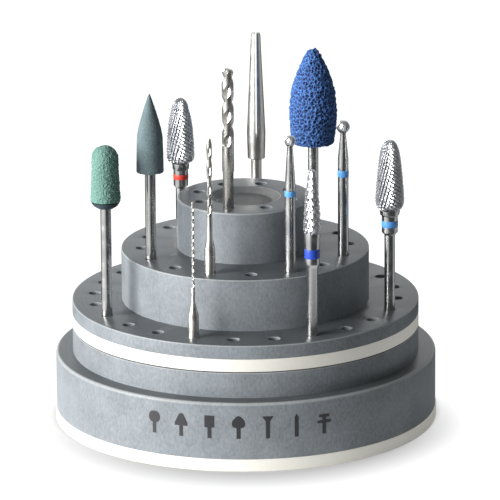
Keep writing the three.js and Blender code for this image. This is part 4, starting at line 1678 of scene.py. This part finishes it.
@dataclass(frozen=True)
class Studio:
    """A white table under a soft lamp from the left, seen from a raised camera in front.

    Attributes:
        target: what the camera looks at, in metres.
        distance: how far it stands from the target.
        elevation: how far above level it looks from.
        roll: how far it leans.
        lens: its focal length, in millimetres.
        sun_heading: where the lamp stands, anticlockwise from +X.
        sun_height: the lamp's height above level.
        sun_size: the angle that the lamp fills.
        sun_strength: its irradiance.
        sky_strength: the strength of the room's light.
        backdrop_strength: the strength of the white backdrop behind the stand, as it reflects.
        table_glow: how brightly the table shines towards the camera.
        table_radius: the table's radius.
        table_hole: the radius of the opening under the foot plate.
        white_radius: how far the white part of the table reaches, for what the stand reflects.
        contact_inner: where the narrow shade all round the foot is darkest.
        contact_outer: where that shade ends.
        shade_centre: the middle of the wider shade, which lies mostly in front.
        shade_inner: where the wider shade is darkest.
        shade_outer: where it ends.
        contact_glow: how brightly the table shines where the shades are darkest.
        towards_lamp: where the table's edge reflects white, towards the lamp.
        towards_far: where it reflects white on the far side.
        towards_dark: where the room is darkest.
    """

    target: Vector = Vector((0.00107, 0, 0.037535))
    distance: float = 1.21895
    elevation: float = 0.2796
    roll: float = -0.006
    lens: float = 398.1
    sun_heading: float = math.radians(205)
    sun_height: float = math.radians(14)
    sun_size: float = math.radians(46)
    sun_strength: float = 9.0
    sky_strength: float = 0.36
    backdrop_strength: float = 0.72
    table_glow: float = 1.0
    table_radius: float = 4.0
    table_hole: float = 0.0405
    white_radius: float = 0.07
    contact_inner: float = 0.0412
    contact_outer: float = 0.0445
    shade_centre: Vector = Vector((0.001, -0.0085, 0))
    shade_inner: float = 0.035
    shade_outer: float = 0.0475
    contact_glow: float = 0.42
    towards_lamp: tuple[float, float, float] = (-0.87, -0.5, 0)
    towards_far: tuple[float, float, float] = (1.0, 0.1, 0)
    towards_dark: tuple[float, float, float] = (0.7, -0.7, 0.1)

    def build(self) -> None:
        """Sets up the floor, lamp, room and camera."""
        self.floor()
        self.lamp()
        self.room()
        self.camera()
        bpy.context.scene.view_settings.view_transform = "Standard"

    def floor(self) -> None:
        """Lays the white table, with a painted shadow round the foot, open under the foot plate so that the
        stand shows from below.
        """
        level = -0.02 * MM
        table = turned("table", [(self.table_hole, level), (self.table_radius, level)])
        material = bpy.data.materials.new("table_white")
        material.use_nodes = True
        wiring = Wiring(material.node_tree)
        place = wiring.add("ShaderNodeTexCoord").outputs["Object"]
        clouds = wiring.noise(place, 60 * MM, 2.0)
        white = wiring.blend(clouds, (0.88, 0.88, 0.88, 1), (0.92, 0.92, 0.92, 1))
        seen = wiring.add("ShaderNodeLightPath").outputs["Is Camera Ray"]
        away = wiring.vector("LENGTH", place)
        towards = wiring.vector("NORMALIZE", place)
        past_edge = wiring.spread(away, self.white_radius, self.white_radius + 30 * MM)
        lamp_side = wiring.spread(wiring.vector("DOT_PRODUCT", towards, self.towards_lamp), 0.55, 0.85)
        far_side = wiring.spread(wiring.vector("DOT_PRODUCT", towards, self.towards_far), 0.86, 0.97)
        darkened = wiring.maths("SUBTRACT", 1.0, wiring.maths(
            "MAXIMUM", lamp_side, wiring.maths("MULTIPLY", far_side, 0.6),
        ))
        unseen_edge = wiring.maths(
            "MULTIPLY", wiring.maths("MULTIPLY", past_edge, darkened), wiring.maths("SUBTRACT", 1.0, seen)
        )
        colour = wiring.blend(unseen_edge, white, (0.05, 0.055, 0.06, 1))
        colour = wiring.blend(seen, colour, (0.12, 0.12, 0.12, 1))
        # Painted shadow: the table's glow is dimmed in a narrow ring round the foot and a wider patch mostly
        # in front of it.
        from_shade = wiring.vector("LENGTH", wiring.vector("SUBTRACT", place, self.shade_centre))
        contact = wiring.maths(
            "MINIMUM", wiring.spread(away, self.contact_inner, self.contact_outer),
            wiring.spread(from_shade, self.shade_inner, self.shade_outer),
        )
        glow = wiring.add("ShaderNodeMapRange", {
            "Value": contact, "To Min": self.contact_glow, "To Max": self.table_glow,
        }).outputs["Result"]
        close_material(wiring, {
            "Base Color": colour, "Roughness": 0.9, "Specular IOR Level": 0.1,
            "Emission Color": (1.0, 1.0, 1.0, 1.0),
            "Emission Strength": wiring.maths("MULTIPLY", seen, glow),
        }, None, 0)
        table.data.materials.append(material)

    def lamp(self) -> None:
        """Hangs the soft lamp."""
        put_down()
        bpy.ops.object.light_add(type="SUN", location=(0, 0, 1))
        lamp = bpy.context.active_object
        lamp.data.energy = self.sun_strength
        lamp.data.angle = self.sun_size
        level = math.cos(self.sun_height)
        towards = Vector((
            level * math.cos(self.sun_heading), level * math.sin(self.sun_heading), math.sin(self.sun_height),
        ))
        lamp.rotation_euler = towards.to_track_quat("Z", "Y").to_euler()

    def room(self) -> None:
        """Paints the room: white where the camera sees it, and a soft gradient for light and reflections."""
        world = bpy.data.worlds.new("room")
        bpy.context.scene.world = world
        world.use_nodes = True
        wiring = Wiring(world.node_tree)
        towards = wiring.add("ShaderNodeTexCoord").outputs["Generated"]
        dark_side = wiring.vector("DOT_PRODUCT", towards, self.towards_dark)
        ramp = wiring.add("ShaderNodeMapRange", {
            "Value": dark_side, "From Min": -0.7, "From Max": 0.9, "To Min": 1.05, "To Max": 0.5,
        }).outputs["Result"]
        behind = wiring.add("ShaderNodeSeparateXYZ", {0: towards}).outputs["Y"]
        backdrop = wiring.add("ShaderNodeMapRange", {
            "Value": behind, "From Min": 0.3, "From Max": 0.85, "To Max": self.backdrop_strength,
        }, interpolation_type="SMOOTHSTEP").outputs["Result"]
        around = wiring.maths("MULTIPLY", ramp, self.sky_strength)
        dim = wiring.add("ShaderNodeBackground", {
            "Color": (0.95, 0.98, 1.0, 1), "Strength": wiring.maths("ADD", around, backdrop),
        })
        white = wiring.add("ShaderNodeBackground", {"Color": (1, 1, 1, 1), "Strength": 1.0})
        seen = wiring.add("ShaderNodeLightPath").outputs["Is Camera Ray"]
        mixed = wiring.add("ShaderNodeMixShader", {0: seen, 1: dim.outputs[0], 2: white.outputs[0]})
        output = wiring.add("ShaderNodeOutputWorld")
        wiring.tree.links.new(mixed.outputs[0], output.inputs["Surface"])

    def camera(self) -> None:
        """Places the camera."""
        back = self.distance * math.cos(self.elevation)
        place = self.target + Vector((0, -back, self.distance * math.sin(self.elevation)))
        put_down()
        bpy.ops.object.camera_add(location=place)
        camera = bpy.context.active_object
        look = (self.target - place).to_track_quat("-Z", "Y")
        camera.rotation_euler = (look @ Quaternion((0, 0, 1), self.roll)).to_euler()
        camera.data.lens = self.lens
        camera.data.sensor_width = 36
        camera.data.clip_end = 100
        bpy.context.scene.camera = camera


def main() -> None:
    """Builds the stand, its instruments and the studio."""
    logging.basicConfig(level=logging.INFO, format="%(relativeCreated)6d ms %(message)s")
    finishes = make_finishes()
    Base().build(finishes)
    Carousel().build(finishes)
    for instrument in INSTRUMENTS:
        instrument.build(finishes)
    finish_hidden_nodes(finishes)
    Studio().build()


if __name__ == "__main__":
    main()
